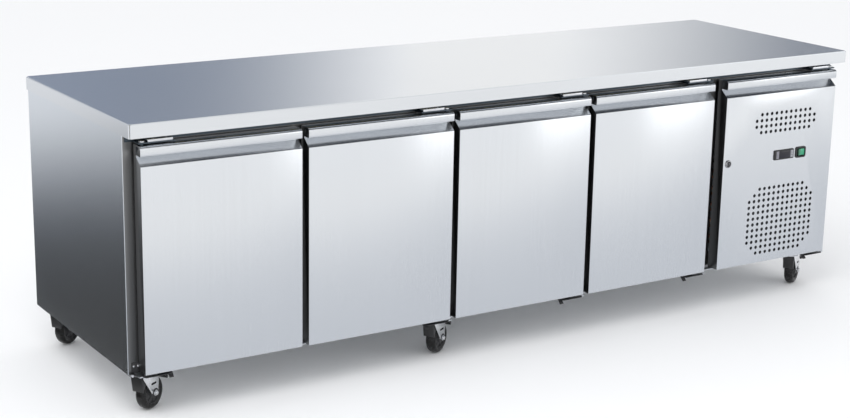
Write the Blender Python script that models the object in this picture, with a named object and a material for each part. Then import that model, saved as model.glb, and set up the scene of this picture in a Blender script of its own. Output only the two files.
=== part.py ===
"""Four-door refrigerated counter on six castors, with its machine compartment at the right.

Metres, +Z up. The origin is on the floor under the middle of the worktop, +X runs along the
length to the right, and the doors face -Y.
"""

import math

import bmesh
import bpy
from mathutils import Matrix, Vector

# Driving dimensions
LENGTH = 2.400
DEPTH = 0.720
HEIGHT = 0.775
WORKTOP_THICK = 0.036
BODY_BOTTOM = 0.118
GAP = 0.0003  # clearance between pieces that touch
SHEET = 0.002  # cabinet sheet
SKIN = 0.0015  # door skin

# Cabinet
SIDE_X = LENGTH / 2 - 0.005  # outer face of a side panel
BACK_Y = DEPTH / 2 - 0.002
FRAME_Y = -0.300  # front plane of the frame that the doors close on
FRAME_DEPTH = 0.030
BODY_TOP = HEIGHT - WORKTOP_THICK - GAP
BASE_TOP = BODY_BOTTOM + SHEET
WALL = 0.050  # foam thickness
CAVITY_RIGHT = 0.650
DIVIDER_RIGHT = 0.700
CAVITY_FLOOR = 0.168
CAVITY_CEILING = 0.685

# Doors
DOOR_COUNT = 4
DOOR_LEFT = -1.168
DOOR_WIDTH = 0.446
DOOR_GAP = 0.019
UNIT_DOOR_GAP = 0.050
UNIT_DOOR_WIDTH = 0.450
DOOR_FACE_Y = -0.350
DOOR_BACK_Y = -0.308
DOOR_BOTTOM = 0.127
FACE_TOP = 0.665
LIP_BOTTOM = 0.689
DOOR_TOP = 0.716
NECK_Y = -0.324
LIP_RADIUS, LIP_UNDER = 0.009, 0.005  # rounding of the lip's upper and lower corner
LIP_STEPS = 4
HINGE_INSET = 0.013
HINGE_Y = -0.329
PIN_RADIUS = 0.004
PIN_BORE = 0.005
OPENING_INSET = 0.030
OPENING_BOTTOM = 0.160
OPENING_TOP = 0.680
UNIT_OPENING = (0.728, 1.160)  # left and right edge of the machine compartment's opening
BRACKET_REACH, BRACKET_END = 0.085, 0.012  # top hinge bracket, either side of its pin
BRACKET_Z = (0.7195, 0.7225)
LUG_HALF = 0.025
LUG_TOP = 0.1215
GASKET_INSET = 0.015
GASKET_WIDTH = 0.013

# Machine compartment controls
VENT_X = 0.970
VENT_PITCH_X = 0.020
VENT_PITCH_Z = 0.0187
VENT_SIDE = 0.0088
UPPER_VENT_TOP = 0.601
UPPER_VENT_ROWS = (11, 13, 13, 11)
LOWER_VENT_TOP = 0.3650
LOWER_VENT_ROWS = (10, 12) + (14,) * 8 + (12, 10)
CONTROLLER_X = (0.929, 1.011)
CONTROLLER_Z = (0.451, 0.482)
BUTTON_X = 1.0025
BUTTON_SIZE, BUTTON_PITCH, BUTTON_TRAVEL = 0.0058, 0.0076, 0.0008
SWITCH_X = (1.020, 1.062)
SWITCH_Z = (0.449, 0.484)
ROCKER_TILT = math.radians(8)
LOCK_X, LOCK_Z = 0.742, 0.460
LOCK_RADIUS, LOCK_BARREL = 0.012, 0.008
BEZEL_LAP, BEZEL_THICK = 0.004, 0.003  # how far a bezel overlaps its window, and stands out
GLAND_X, GLAND_Z = 1.145, 0.160

# Refrigeration and shelves
CONDENSER = ((0.800, -0.235, 0.150), (1.090, -0.190, 0.430))
CONDENSER_FAN = (0.945, -0.155, 0.290)
COMPRESSOR_X, COMPRESSOR_Y = 0.945, 0.120
EVAPORATOR = ((0.600, -0.020, 0.325), (0.645, 0.260, 0.625))
EVAPORATOR_FAN = (0.565, 0.120, 0.475)
FAN_BLADES = 5
LOUVRE_X = (0.800, 1.100)
LOUVRE_BOTTOM, LOUVRE_PITCH, LOUVRE_HEIGHT, LOUVRES = 0.200, 0.030, 0.012, 12
SHELF_X = (-0.945, -0.480, -0.015, 0.375)
SHELF_Y, SHELF_Z = -0.005, 0.425
SHELF_SIZE = (0.325, 0.530)
SHELF_BARS = 9

# Castors
FRONT_CASTOR_Y, REAR_CASTOR_Y = -0.270, 0.310
CASTOR_X = (-1.145, -0.265, 1.112)
WHEEL_RADIUS, WHEEL_WIDTH = 0.045, 0.030
TRAIL = 0.030
TRAIL_ANGLE = math.radians(31.3)  # direction in which each castor trails
AXLE_RADIUS = 0.006
PIN = 0.006  # kingpin radius
CROWN_Z = (0.1025, 0.106)
CROWN_PLAY = 0.0006
LEG_INNER, LEG_THICK = 0.0175, 0.003
PEDAL_PIVOT = (0.042, 0.0985)  # distance along the trail, and height

MATERIALS = {
    "brushed_steel": ((0.60, 0.61, 0.63), 0.32, 1.0),
    "dark_steel": ((0.22, 0.23, 0.25), 0.40, 1.0),
    "zinc": ((0.72, 0.73, 0.75), 0.30, 1.0),
    "foam": ((0.88, 0.83, 0.62), 0.90, 0.0),
    "white_plastic": ((0.85, 0.86, 0.86), 0.50, 0.0),
    "grey_rubber": ((0.33, 0.34, 0.35), 0.70, 0.0),
    "black_rubber": ((0.02, 0.02, 0.02), 0.60, 0.0),
    "black_plastic": ((0.03, 0.03, 0.03), 0.40, 0.0),
    "green_plastic": ((0.05, 0.45, 0.12), 0.25, 0.0),
    "aluminium": ((0.80, 0.81, 0.82), 0.35, 1.0),
    "black_paint": ((0.02, 0.02, 0.02), 0.35, 0.0),
    "shelf_wire": ((0.78, 0.79, 0.80), 0.30, 1.0),
}
COLLECTION = bpy.context.scene.collection


# ---------------------------------------------------------------- shared tools
def material(name):
    """The named Principled material, made on first use."""
    found = bpy.data.materials.get(name)
    if found:
        return found
    colour, roughness, metallic = MATERIALS[name]
    made = bpy.data.materials.new(name)
    made.use_nodes = True
    shader = made.node_tree.nodes["Principled BSDF"]
    shader.inputs["Base Color"].default_value = (*colour, 1)
    shader.inputs["Roughness"].default_value = roughness
    shader.inputs["Metallic"].default_value = metallic
    made.diffuse_color = (*colour, 1)
    return made


def box(low, high):
    """A closed box between two corners."""
    shape = bmesh.new()
    size = Vector(high) - Vector(low)
    centre = (Vector(high) + Vector(low)) / 2
    place = Matrix.Translation(centre) @ Matrix.Diagonal((*size, 1))
    bmesh.ops.create_cube(shape, size=1, matrix=place)
    return shape


def prism(outline, along, start, end):
    """An outline extruded along an axis. Its two coordinates are the axis's next two, in order."""
    shape = bmesh.new()
    order = {"x": (0, 1, 2), "y": (1, 2, 0), "z": (2, 0, 1)}[along]

    def point(u, v, w):
        place = [0.0, 0.0, 0.0]
        for axis, value in zip(order, (w, u, v)):
            place[axis] = value
        return place

    face = shape.faces.new([shape.verts.new(point(u, v, start)) for u, v in outline])
    pushed = bmesh.ops.extrude_face_region(shape, geom=[face])["geom"]
    moved = [piece for piece in pushed if isinstance(piece, bmesh.types.BMVert)]
    step = Vector(point(0, 0, end)) - Vector(point(0, 0, start))
    bmesh.ops.translate(shape, vec=step, verts=moved)
    bmesh.ops.recalc_face_normals(shape, faces=shape.faces)
    return shape


def circle(centre, radius, sides):
    """Corner points of a regular polygon."""
    steps = [2 * math.pi * i / sides for i in range(sides)]
    return [(centre[0] + radius * math.cos(a), centre[1] + radius * math.sin(a)) for a in steps]


def rod(along, centre, radius, start, end, sides=16):
    """A round bar along an axis."""
    return prism(circle(centre, radius, sides), along, start, end)


def turned(profile, centre, sides=24, ring=False):
    """(radius, height) points turned about a vertical line; they start and end on it, unless a ring."""
    shape = bmesh.new()
    verts = [shape.verts.new((radius, 0, height)) for radius, height in profile]
    edges = [shape.edges.new(pair) for pair in zip(verts, verts[1:] + verts[:1] if ring else verts[1:])]
    bmesh.ops.spin(
        shape, geom=verts + edges, cent=(0, 0, 0), axis=(0, 0, 1),
        angle=2 * math.pi, steps=sides, use_merge=True,
    )
    bmesh.ops.remove_doubles(shape, verts=shape.verts, dist=1e-6)
    bmesh.ops.recalc_face_normals(shape, faces=shape.faces)
    bmesh.ops.translate(shape, vec=centre, verts=shape.verts)
    return shape


def transformed(shape, matrix):
    """The same shape, moved."""
    bmesh.ops.transform(shape, matrix=matrix, verts=shape.verts)
    return shape


def mesh_object(name, shape):
    """A linked object that holds the shape's mesh."""
    mesh = bpy.data.meshes.new(name)
    shape.to_mesh(mesh)
    shape.free()
    made = bpy.data.objects.new(name, mesh)
    COLLECTION.objects.link(made)
    return made


def piece(name, finish, base, add=(), cut=(), origin=(0, 0, 0), smooth=False):
    """One sub-part: the base shape with shapes united to it and cut from it, origin where asked."""
    made = mesh_object(name, base)
    tools = []
    for operation, shapes in (("UNION", add), ("DIFFERENCE", cut)):
        for shape in shapes:
            tool = mesh_object(f"{name}_tool", shape)
            change = made.modifiers.new(operation, "BOOLEAN")
            change.operation = operation
            change.object = tool
            tools.append(tool)
    if tools:
        bpy.context.view_layer.update()
        graph = bpy.context.evaluated_depsgraph_get()
        result = bpy.data.meshes.new_from_object(made.evaluated_get(graph))
        made.modifiers.clear()
        made.data = result
        for tool in tools:
            bpy.data.objects.remove(tool)
    made.data.name = name
    made.data.transform(Matrix.Translation(-Vector(origin)))
    made.location = origin
    made.data.materials.clear()
    made.data.materials.append(material(finish))
    if smooth:
        made.data.shade_smooth()
        made.data.set_sharp_from_angle(angle=math.radians(35))
    return made


# ---------------------------------------------------------------- cabinet
def door_span(index):
    """Left and right edge of fridge door 1 to 4."""
    left = DOOR_LEFT + (index - 1) * (DOOR_WIDTH + DOOR_GAP)
    return left, left + DOOR_WIDTH


def unit_span():
    left = door_span(DOOR_COUNT)[1] + UNIT_DOOR_GAP
    return left, left + UNIT_DOOR_WIDTH


def make_worktop():
    """A folded sheet: flat top, turned-down edges and a return along their foot."""
    low = Vector((-LENGTH / 2, -DEPTH / 2, HEIGHT - WORKTOP_THICK))
    high = Vector((LENGTH / 2, DEPTH / 2, HEIGHT))
    slab = box(low, high)
    corners = [e for e in slab.edges if abs(e.verts[0].co.z - e.verts[1].co.z) > 0.01]
    bmesh.ops.bevel(slab, geom=corners, offset=0.004, segments=2, affect="EDGES")
    top_rim = [e for e in slab.edges if all(v.co.z > HEIGHT - 1e-5 for v in e.verts)]
    bmesh.ops.bevel(slab, geom=top_rim, offset=0.002, segments=2, affect="EDGES")
    wall = Vector((0.0035, 0.0035, SHEET))
    room = box(low + wall, high - wall)
    mouth_inset = Vector((0.022, 0.022, -0.005))
    mouth = box(low + mouth_inset, (high.x - 0.022, high.y - 0.020, HEIGHT - 0.010))
    piece("worktop", "brushed_steel", slab, cut=[room, mouth])


def make_panels():
    """The two sides, the back with its louvres, and the base with the lower hinge lugs."""
    inner_x = SIDE_X - SHEET
    for name, sign in (("left_side_panel", -1), ("right_side_panel", 1)):
        low_x, high_x = sorted((sign * SIDE_X, sign * inner_x))
        piece(name, "brushed_steel", box((low_x, FRAME_Y, BODY_BOTTOM), (high_x, BACK_Y, BODY_TOP)))
    louvres = []
    for row in range(LOUVRES):
        z = LOUVRE_BOTTOM + LOUVRE_PITCH * row
        low, high = (LOUVRE_X[0], BACK_Y - 0.01, z), (LOUVRE_X[1], BACK_Y + 0.01, z + LOUVRE_HEIGHT)
        louvres.append(box(low, high))
    inner_x -= GAP
    back = box((-inner_x, BACK_Y - SHEET, BASE_TOP + GAP), (inner_x, BACK_Y, BODY_TOP))
    gland_hole = rod("y", (GLAND_Z, GLAND_X), 0.008, BACK_Y - 0.01, BACK_Y + 0.01)
    piece("back_panel", "brushed_steel", back, cut=louvres + [gland_hole])
    base = box((-inner_x, -0.312, BODY_BOTTOM), (inner_x, BACK_Y, BASE_TOP))
    lugs = []
    for pivot in hinge_lines():
        low = (pivot - LUG_HALF, HINGE_Y - 0.010, BODY_BOTTOM + 0.0005)
        lugs.append(box(low, (pivot + LUG_HALF, FRAME_Y, LUG_TOP)))
        lugs.append(rod("z", (pivot, HINGE_Y), PIN_RADIUS, LUG_TOP - 0.0005, DOOR_BOTTOM + 0.010))
    piece("base_panel", "brushed_steel", base, add=lugs)


def make_front_frame():
    """The face frame: one opening for each door and one for the machine compartment."""
    edge = SIDE_X - SHEET - GAP
    frame = box((-edge, FRAME_Y, 0.122), (edge, FRAME_Y + FRAME_DEPTH, BODY_TOP))
    openings = [door_span(i) for i in range(1, DOOR_COUNT + 1)]
    openings = [(left + OPENING_INSET, right - OPENING_INSET) for left, right in openings]
    holes = [
        box((left, FRAME_Y - 0.01, OPENING_BOTTOM), (right, FRAME_Y + 0.05, OPENING_TOP))
        for left, right in openings + [UNIT_OPENING]
    ]
    piece("front_frame", "brushed_steel", frame, cut=holes)


def make_insulation():
    """Foam round the cold space, raised under the worktop, with the divider at the right."""
    edge = SIDE_X - SHEET - 2 * GAP
    front = FRAME_Y + FRAME_DEPTH + GAP
    back = BACK_Y - SHEET - GAP
    block = box((-edge, front, BASE_TOP + GAP), (DIVIDER_RIGHT, back, BODY_TOP - GAP))
    pad = box((-1.175, front, BODY_TOP - 0.02), (DIVIDER_RIGHT, 0.335, HEIGHT - SHEET - GAP))
    cavity_low = (-SIDE_X + WALL, front - 0.01, CAVITY_FLOOR)
    cavity = box(cavity_low, (CAVITY_RIGHT, back - WALL, CAVITY_CEILING))
    piece("insulation", "foam", block, add=[pad], cut=[cavity])

    low = Vector((-SIDE_X + WALL + GAP, front, CAVITY_FLOOR + GAP))
    high = Vector((CAVITY_RIGHT - GAP, back - WALL - GAP, CAVITY_CEILING - GAP))
    tank = 0.001
    room = box((low.x + tank, front - 0.01, low.z + tank), high - Vector((tank, tank, tank)))
    piece("inner_liner", "brushed_steel", box(low, high), cut=[room])


def make_top_hinge_rail():
    """The rail under the worktop's front edge, with a bracket and a pin over each door."""
    end = SIDE_X - 0.007
    low_z, high_z = BRACKET_Z
    rail = box((-end, FRAME_Y - 0.0025, low_z), (end, FRAME_Y - GAP, BODY_TOP))
    brackets = []
    for number, pivot in enumerate(hinge_lines(), start=1):
        reach = (-BRACKET_END, BRACKET_REACH) if number == 1 else (-BRACKET_REACH, BRACKET_END)
        low = (pivot + reach[0], HINGE_Y - 0.010, low_z)
        brackets.append(box(low, (pivot + reach[1], FRAME_Y - 0.001, high_z)))
        brackets.append(rod("z", (pivot, HINGE_Y), PIN_RADIUS, DOOR_TOP - 0.010, low_z + 0.0015))
    piece("top_hinge_rail", "zinc", rail, add=brackets)


# ---------------------------------------------------------------- doors
def hinge_lines():
    """X of each door's hinge: door 1 at its left edge, every other door at its right edge."""
    lines = [door_span(1)[0] + HINGE_INSET]
    lines += [door_span(i)[1] - HINGE_INSET for i in range(2, DOOR_COUNT + 1)]
    return lines + [unit_span()[1] - HINGE_INSET]


def quarter(centre, radius, start):
    """Points of a quarter turn clockwise from the start angle, in degrees."""
    angles = [math.radians(start - 90 * i / LIP_STEPS) for i in range(LIP_STEPS + 1)]
    return [(centre[0] + radius * math.cos(a), centre[1] + radius * math.sin(a)) for a in angles]


def door_outline():
    """Section of a door: face, sloped finger grip, neck and rounded lip."""
    front = DOOR_FACE_Y
    bend = 0.001  # size of the sheet's folds
    outline = [(DOOR_BACK_Y, DOOR_BOTTOM), (front + bend, DOOR_BOTTOM), (front, DOOR_BOTTOM + bend)]
    outline += [(front, FACE_TOP - 2 * bend), (front + 1.4 * bend, FACE_TOP + 0.6 * bend)]
    outline += [(NECK_Y - bend, LIP_BOTTOM - 3 * bend), (NECK_Y + bend, LIP_BOTTOM)]
    outline += quarter((front + LIP_UNDER, LIP_BOTTOM + LIP_UNDER), LIP_UNDER, 270)
    outline += quarter((front + LIP_RADIUS, DOOR_TOP - LIP_RADIUS), LIP_RADIUS, 180)
    return outline + [(DOOR_BACK_Y, DOOR_TOP)]


def door_room(span, inset, back):
    """The space inside a door's skin, pulled in by an inset."""
    low = (span[0] + inset, DOOR_FACE_Y + inset, DOOR_BOTTOM + inset)
    return box(low, (span[1] - inset, back, FACE_TOP - 0.003 - (inset - SKIN)))


def pin_bores(pivot):
    """Cutters for the hinge pins' bores at the bottom and top of a door."""
    bottom = rod("z", (pivot, HINGE_Y), PIN_BORE, DOOR_BOTTOM - 0.01, DOOR_BOTTOM + 0.012)
    top = rod("z", (pivot, HINGE_Y), PIN_BORE, DOOR_TOP - 0.012, DOOR_TOP + 0.01)
    return [bottom, top]


def make_door(index):
    """One fridge door: folded skin, foam-filled inner pan and magnetic gasket."""
    left, right = door_span(index)
    pivot = hinge_lines()[index - 1]
    hinge = (pivot, HINGE_Y, DOOR_BOTTOM)
    name = f"door_{index}"
    skin = prism(door_outline(), "x", left, right)
    pocket = door_room((left, right), SKIN, DOOR_BACK_Y + 0.01)
    piece(f"{name}_skin", "brushed_steel", skin, cut=[pocket] + pin_bores(pivot), origin=hinge)
    core = door_room((left, right), SKIN + GAP, DOOR_BACK_Y)
    piece(f"{name}_inner_pan", "white_plastic", core, cut=pin_bores(pivot)[:1], origin=hinge)

    rim = Vector((GASKET_WIDTH, 0, GASKET_WIDTH))
    low = Vector((left + GASKET_INSET, DOOR_BACK_Y + GAP, DOOR_BOTTOM + GASKET_INSET))
    high = Vector((right - GASKET_INSET, FRAME_Y - GAP, DOOR_TOP - GASKET_INSET))
    through = Vector((0, 0.01, 0))
    room = box(low + rim - through, high - rim + through)
    piece(f"{name}_gasket", "grey_rubber", box(low, high), cut=[room], origin=hinge)


def vent_cutter():
    """One cutter that holds every vent hole of the compartment door."""
    cutter = bmesh.new()
    size = Matrix.Diagonal((VENT_SIDE, 4 * SKIN, VENT_SIDE, 1))
    for top, rows in ((UPPER_VENT_TOP, UPPER_VENT_ROWS), (LOWER_VENT_TOP, LOWER_VENT_ROWS)):
        for row, count in enumerate(rows):
            z = top - row * VENT_PITCH_Z
            for column in range(count):
                x = VENT_X + (column - (count - 1) / 2) * VENT_PITCH_X
                place = Matrix.Translation((x, DOOR_FACE_Y + SKIN / 2, z))
                bmesh.ops.create_cube(cutter, size=1, matrix=place @ size)
    return cutter


def make_unit_door():
    """The machine compartment's door: the same folded section, with no foam and with vent holes."""
    left, right = unit_span()
    pivot = hinge_lines()[-1]
    skin = prism(door_outline(), "x", left, right)
    pocket = door_room((left, right), SKIN, DOOR_BACK_Y + 0.01)
    front, behind = DOOR_FACE_Y - 0.01, DOOR_FACE_Y + 0.01
    windows = []
    for x, z in ((CONTROLLER_X, CONTROLLER_Z), (SWITCH_X, SWITCH_Z)):
        low, high = (x[0] + BEZEL_LAP, front, z[0] + BEZEL_LAP), (x[1] - BEZEL_LAP, behind, z[1] - BEZEL_LAP)
        windows.append(box(low, high))
    lock_hole = rod("y", (LOCK_Z, LOCK_X), LOCK_BARREL + 0.0015, front, behind)
    cuts = [pocket, vent_cutter(), lock_hole] + windows + pin_bores(pivot)
    piece("unit_door", "brushed_steel", skin, cut=cuts, origin=(pivot, HINGE_Y, DOOR_BOTTOM))


# ---------------------------------------------------------------- controls
def flush_mount(span_x, span_z, depth):
    """A bezel on the compartment door with its body through the window behind it, and its front plane."""
    (x0, x1), (z0, z1) = span_x, span_z
    lap = BEZEL_LAP + 0.0004
    face = DOOR_FACE_Y - GAP
    bezel = box((x0, face - BEZEL_THICK, z0), (x1, face, z1))
    body = box((x0 + lap, face - 0.001, z0 + lap), (x1 - lap, face + depth, z1 - lap))
    return bezel, body, face


def make_controller():
    """Flush-mounted temperature controller and its three push buttons."""
    bezel, body, face = flush_mount(CONTROLLER_X, CONTROLLER_Z, 0.038)
    middle = sum(CONTROLLER_Z) / 2
    heights = [middle + step * BUTTON_PITCH for step in (1, 0, -1)]
    half, well_half = BUTTON_SIZE / 2, BUTTON_SIZE / 2 + 0.0004
    front, well_end = face - BEZEL_THICK - BUTTON_TRAVEL, face + 0.004
    wells = [
        box((BUTTON_X - well_half, face - 0.01, z - well_half), (BUTTON_X + well_half, well_end, z + well_half))
        for z in heights
    ]
    piece("controller", "black_plastic", bezel, add=[body], cut=wells)
    for name, z in zip(("button_up", "button_set", "button_down"), heights):
        low, high = (BUTTON_X - half, front, z - half), (BUTTON_X + half, front + 0.006, z + half)
        piece(name, "white_plastic", box(low, high), origin=(BUTTON_X, front, z))


def make_switch():
    """Rocker switch: a square bezel with a body behind it, and a V-shaped rocker."""
    (x0, x1), (z0, z1) = SWITCH_X, SWITCH_Z
    bezel, body, face = flush_mount(SWITCH_X, SWITCH_Z, 0.030)
    rim = 0.007
    well = box((x0 + rim, face - 0.01, z0 + rim), (x1 - rim, face + 0.016, z1 - rim))
    piece("power_switch", "black_plastic", bezel, add=[body], cut=[well])
    half_x, half_z = (x1 - x0) / 2 - rim - 0.0015, (z1 - z0) / 2 - rim - 0.0005
    pivot = ((x0 + x1) / 2, face + 0.006, (z0 + z1) / 2)
    front, dip, side, back = -0.0095, -0.0073, 0.002, 0.006
    outline = [(-half_x, front), (0, dip), (half_x, front)]
    outline += [(half_x * 0.8, side), (0, back), (-half_x * 0.8, side)]
    place = Matrix.Translation(pivot) @ Matrix.Rotation(ROCKER_TILT, 4, "Z")
    rocker = transformed(prism(outline, "z", -half_z, half_z), place)
    piece("power_switch_rocker", "green_plastic", rocker, origin=pivot)


def make_lock():
    """Cam lock: a turned barrel through the compartment door with its cam behind the frame."""
    face, end = DOOR_FACE_Y, -0.086
    profile = [(0, 0.0035), (LOCK_BARREL, 0.0035), (LOCK_RADIUS, 0.002), (LOCK_RADIUS, GAP)]
    profile += [(LOCK_BARREL, GAP), (LOCK_BARREL, end), (0, end)]
    to_front = Matrix.Translation((LOCK_X, face, LOCK_Z)) @ Matrix.Rotation(math.pi / 2, 4, "X")
    barrel = transformed(turned(profile, (0, 0, 0), sides=20), to_front)
    cam_low = (LOCK_X - 0.005, face + 0.0835, LOCK_Z - 0.030)
    cam = box(cam_low, (LOCK_X + 0.005, face + 0.0855, LOCK_Z + 0.006))
    slot_low = (LOCK_X - 0.0008, face - 0.006, LOCK_Z - 0.0045)
    slot = box(slot_low, (LOCK_X + 0.0008, face - 0.002, LOCK_Z + 0.0045))
    piece("lock_barrel", "zinc", barrel, add=[cam], cut=[slot], origin=(LOCK_X, face, LOCK_Z), smooth=True)


# ---------------------------------------------------------------- refrigeration
def fan(name, centre, axis, hub_radius, tip_radius, half_depth, finish):
    """Hub with five pitched blades, turning about the axis, on which its origin lies."""
    hub = prism(circle((0, 0), hub_radius, 16), "z", -half_depth, half_depth)
    tilt = Matrix.Rotation(math.radians(24), 4, "X")
    blades = []
    for i in range(FAN_BLADES):
        blade = box((hub_radius * 0.6, -hub_radius * 0.75, -0.001), (tip_radius, hub_radius * 0.95, 0.001))
        blades.append(transformed(blade, Matrix.Rotation(2 * math.pi * i / FAN_BLADES, 4, "Z") @ tilt))
    turn = {"x": Matrix.Rotation(math.pi / 2, 4, "Y"), "y": Matrix.Rotation(math.pi / 2, 4, "X")}[axis]
    place = Matrix.Translation(centre) @ turn
    piece(name, finish, transformed(hub, place), add=[transformed(b, place) for b in blades], origin=centre)


def make_condenser():
    """Finned block with a strap behind it that carries the fan motor."""
    low, high = Vector(CONDENSER[0]), Vector(CONDENSER[1])
    x, _, z = CONDENSER_FAN
    back, half, sheet = -0.100, 0.015, 0.003
    strap = [
        box((low.x, high.y - 0.002, z - half), (low.x + sheet, back, z + half)),
        box((high.x - sheet, high.y - 0.002, z - half), (high.x, back, z + half)),
        box((low.x, back - sheet, z - half), (high.x, back, z + half)),
        rod("y", (z, x), 0.032, back - 0.035, back + 0.020, sides=20),
    ]
    foot = box((low.x, low.y, BASE_TOP + GAP), (high.x, high.y + 0.03, low.z + 0.004))
    under = box((low.x + 0.01, low.y - 0.01, BASE_TOP - 0.01), (high.x - 0.01, high.y + 0.05, low.z))
    grooves = []
    for i in range(6):
        bottom = low.z + 0.030 + 0.0375 * i
        grooves.append(box((low.x + 0.02, low.y - 0.01, bottom), (high.x - 0.02, low.y + 0.006, bottom + 0.02)))
    piece("condenser", "aluminium", box(low, high), add=strap + [foot], cut=[under] + grooves)
    fan("condenser_fan", CONDENSER_FAN, "y", 0.022, 0.105, 0.014, "black_plastic")


def make_compressor():
    """Hermetic compressor: a domed pot on its foot plate, with its terminal cover."""
    x, y, z = COMPRESSOR_X, COMPRESSOR_Y, BASE_TOP + GAP
    profile = [(0, 0.190), (0.040, 0.186), (0.072, 0.170), (0.088, 0.140), (0.092, 0.105)]
    profile += [(0.092, 0.050), (0.080, 0.022), (0.050, 0.010), (0, 0.010)]
    pot = turned(profile, (x, y, z), sides=24)
    plate = box((x - 0.115, y - 0.075, z), (x + 0.115, y + 0.075, z + 0.012))
    terminal = box((x - 0.028, y - 0.115, z + 0.070), (x + 0.028, y - 0.080, z + 0.130))
    piece("compressor", "black_paint", pot, add=[plate, terminal], smooth=True)


def make_evaporator():
    """Finned block on the divider, with the strap that carries its fan motor."""
    low, high = Vector(EVAPORATOR[0]), Vector(EVAPORATOR[1])
    _, y, z = EVAPORATOR_FAN
    left, half, sheet = 0.580, 0.012, 0.003
    strap = [
        box((left, low.y, z - half), (left + sheet, high.y, z + half)),
        box((left, low.y, z - half), (low.x + 0.002, low.y + sheet, z + half)),
        box((left, high.y - sheet, z - half), (low.x + 0.002, high.y, z + half)),
        rod("x", (y, z), 0.018, left - 0.003, left + 0.010),
    ]
    grooves = []
    for i in range(6):
        near = low.y + 0.012 + 0.0435 * i
        grooves.append(box((low.x - 0.01, near, low.z - 0.01), (low.x + 0.010, near + 0.018, high.z + 0.01)))
    piece("evaporator", "aluminium", box(low, high), add=strap, cut=grooves)
    fan("evaporator_fan", EVAPORATOR_FAN, "x", 0.016, 0.085, 0.010, "black_plastic")


def make_cable_gland():
    """Gland in the back panel through which the supply cable would leave."""
    flange, stem, inside = 0.0017, 0.007, -0.018
    profile = [(0, flange), (0.012, flange), (0.012, GAP), (stem, GAP), (stem, inside), (0, inside)]
    place = Matrix.Translation((GLAND_X, BACK_Y, GLAND_Z)) @ Matrix.Rotation(-math.pi / 2, 4, "X")
    piece("cable_gland", "black_plastic", transformed(turned(profile, (0, 0, 0), sides=16), place))


# ---------------------------------------------------------------- shelves
def make_shelf(index):
    """Wire shelf for one bay: a rim and a middle rail with cross bars."""
    x, y = SHELF_X[index - 1], SHELF_Y
    half_x, half_y = SHELF_SIZE[0] / 2, SHELF_SIZE[1] / 2
    rim, bar = 0.008, 0.004
    slot_width = (2 * half_x - 2 * rim - (SHELF_BARS - 1) * bar) / SHELF_BARS
    slots = []
    for i in range(SHELF_BARS):
        left = x - half_x + rim + i * (slot_width + bar)
        for near, far in ((y - half_y + rim, y - bar), (y + bar, y + half_y - rim)):
            slots.append(box((left, near, SHELF_Z - 0.01), (left + slot_width, far, SHELF_Z + 0.01)))
    grid = box((x - half_x, y - half_y, SHELF_Z - 0.003), (x + half_x, y + half_y, SHELF_Z + 0.003))
    piece(f"shelf_{index}", "shelf_wire", grid, cut=slots)


# ---------------------------------------------------------------- castors
def make_castor_plate(place, x, y):
    """Top plate with the kingpin that the fork turns on."""
    top = BODY_BOTTOM - GAP
    low_z, high_z = CROWN_Z[0] - CROWN_PLAY, CROWN_Z[1] + CROWN_PLAY
    profile = [(0, top - 0.001), (0.024, top - 0.001), (0.026, 0.108), (0.024, high_z)]
    profile += [(PIN, high_z), (PIN, low_z), (PIN + 0.004, low_z)]
    profile += [(PIN + 0.003, low_z - 0.0034), (0, low_z - 0.0034)]
    kingpin = turned(profile, (x, y, 0), sides=14)
    plate = box((x - 0.048, y - 0.038, top - 0.003), (x + 0.048, y + 0.038, top))
    piece(f"{place}_castor_plate", "zinc", plate, add=[kingpin], origin=(x, y, top), smooth=True)


def make_castor_fork(place, stand):
    """Crown with a leg either side of the wheel and the axle between them."""
    crown = prism(circle((0, 0), 0.028, 16), "z", *CROWN_Z)
    bore = rod("z", (0, 0), PIN + 0.0008, 0.09, 0.12, sides=12)
    inner, outer = LEG_INNER, LEG_INNER + LEG_THICK
    lap = 0.0005  # shapes that unite overlap by this much, so no two faces coincide
    bridge = box((-0.021, -outer - lap, CROWN_Z[0] + lap), (0.048, outer + lap, CROWN_Z[1] - lap))
    top = CROWN_Z[1] - 2 * lap
    leg = [(top, -0.020), (top, 0.047), (0.090, 0.047), (0.045, 0.042), (0.036, 0.038)]
    leg += [(0.033, 0.030), (0.036, 0.022), (0.045, 0.018), (0.094, -0.020)]
    legs = [prism(leg, "y", start, start + LEG_THICK) for start in (inner, -outer)]
    axle = rod("y", (WHEEL_RADIUS, TRAIL), AXLE_RADIUS, -outer - 0.005, outer + 0.005, sides=12)
    shapes = [transformed(shape, stand) for shape in [bridge, axle] + legs]
    piece(
        f"{place}_castor_fork", "zinc", transformed(crown, stand), add=shapes,
        cut=[transformed(bore, stand)], origin=stand @ Vector((0, 0, CROWN_Z[0])), smooth=True,
    )


def make_castor_wheel(place, stand):
    """Wheel with a raised hub and a rounded tread, on the fork's axle."""
    half, bore, shoulder = WHEEL_WIDTH / 2, AXLE_RADIUS + 0.0008, 0.006
    tread = [(bore, half + 0.001), (0.014, half + 0.001), (0.015, half - 0.004), (0.031, half)]
    tread += [(WHEEL_RADIUS - shoulder, half), (WHEEL_RADIUS, half - shoulder)]
    tread += [(radius, -height) for radius, height in reversed(tread)]
    centre = Vector((TRAIL, 0, WHEEL_RADIUS))
    lay = stand @ Matrix.Translation(centre) @ Matrix.Rotation(math.pi / 2, 4, "X")
    wheel = transformed(turned(tread, (0, 0, 0), ring=True), lay)
    piece(f"{place}_castor_wheel", "black_rubber", wheel, origin=stand @ centre, smooth=True)


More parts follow.
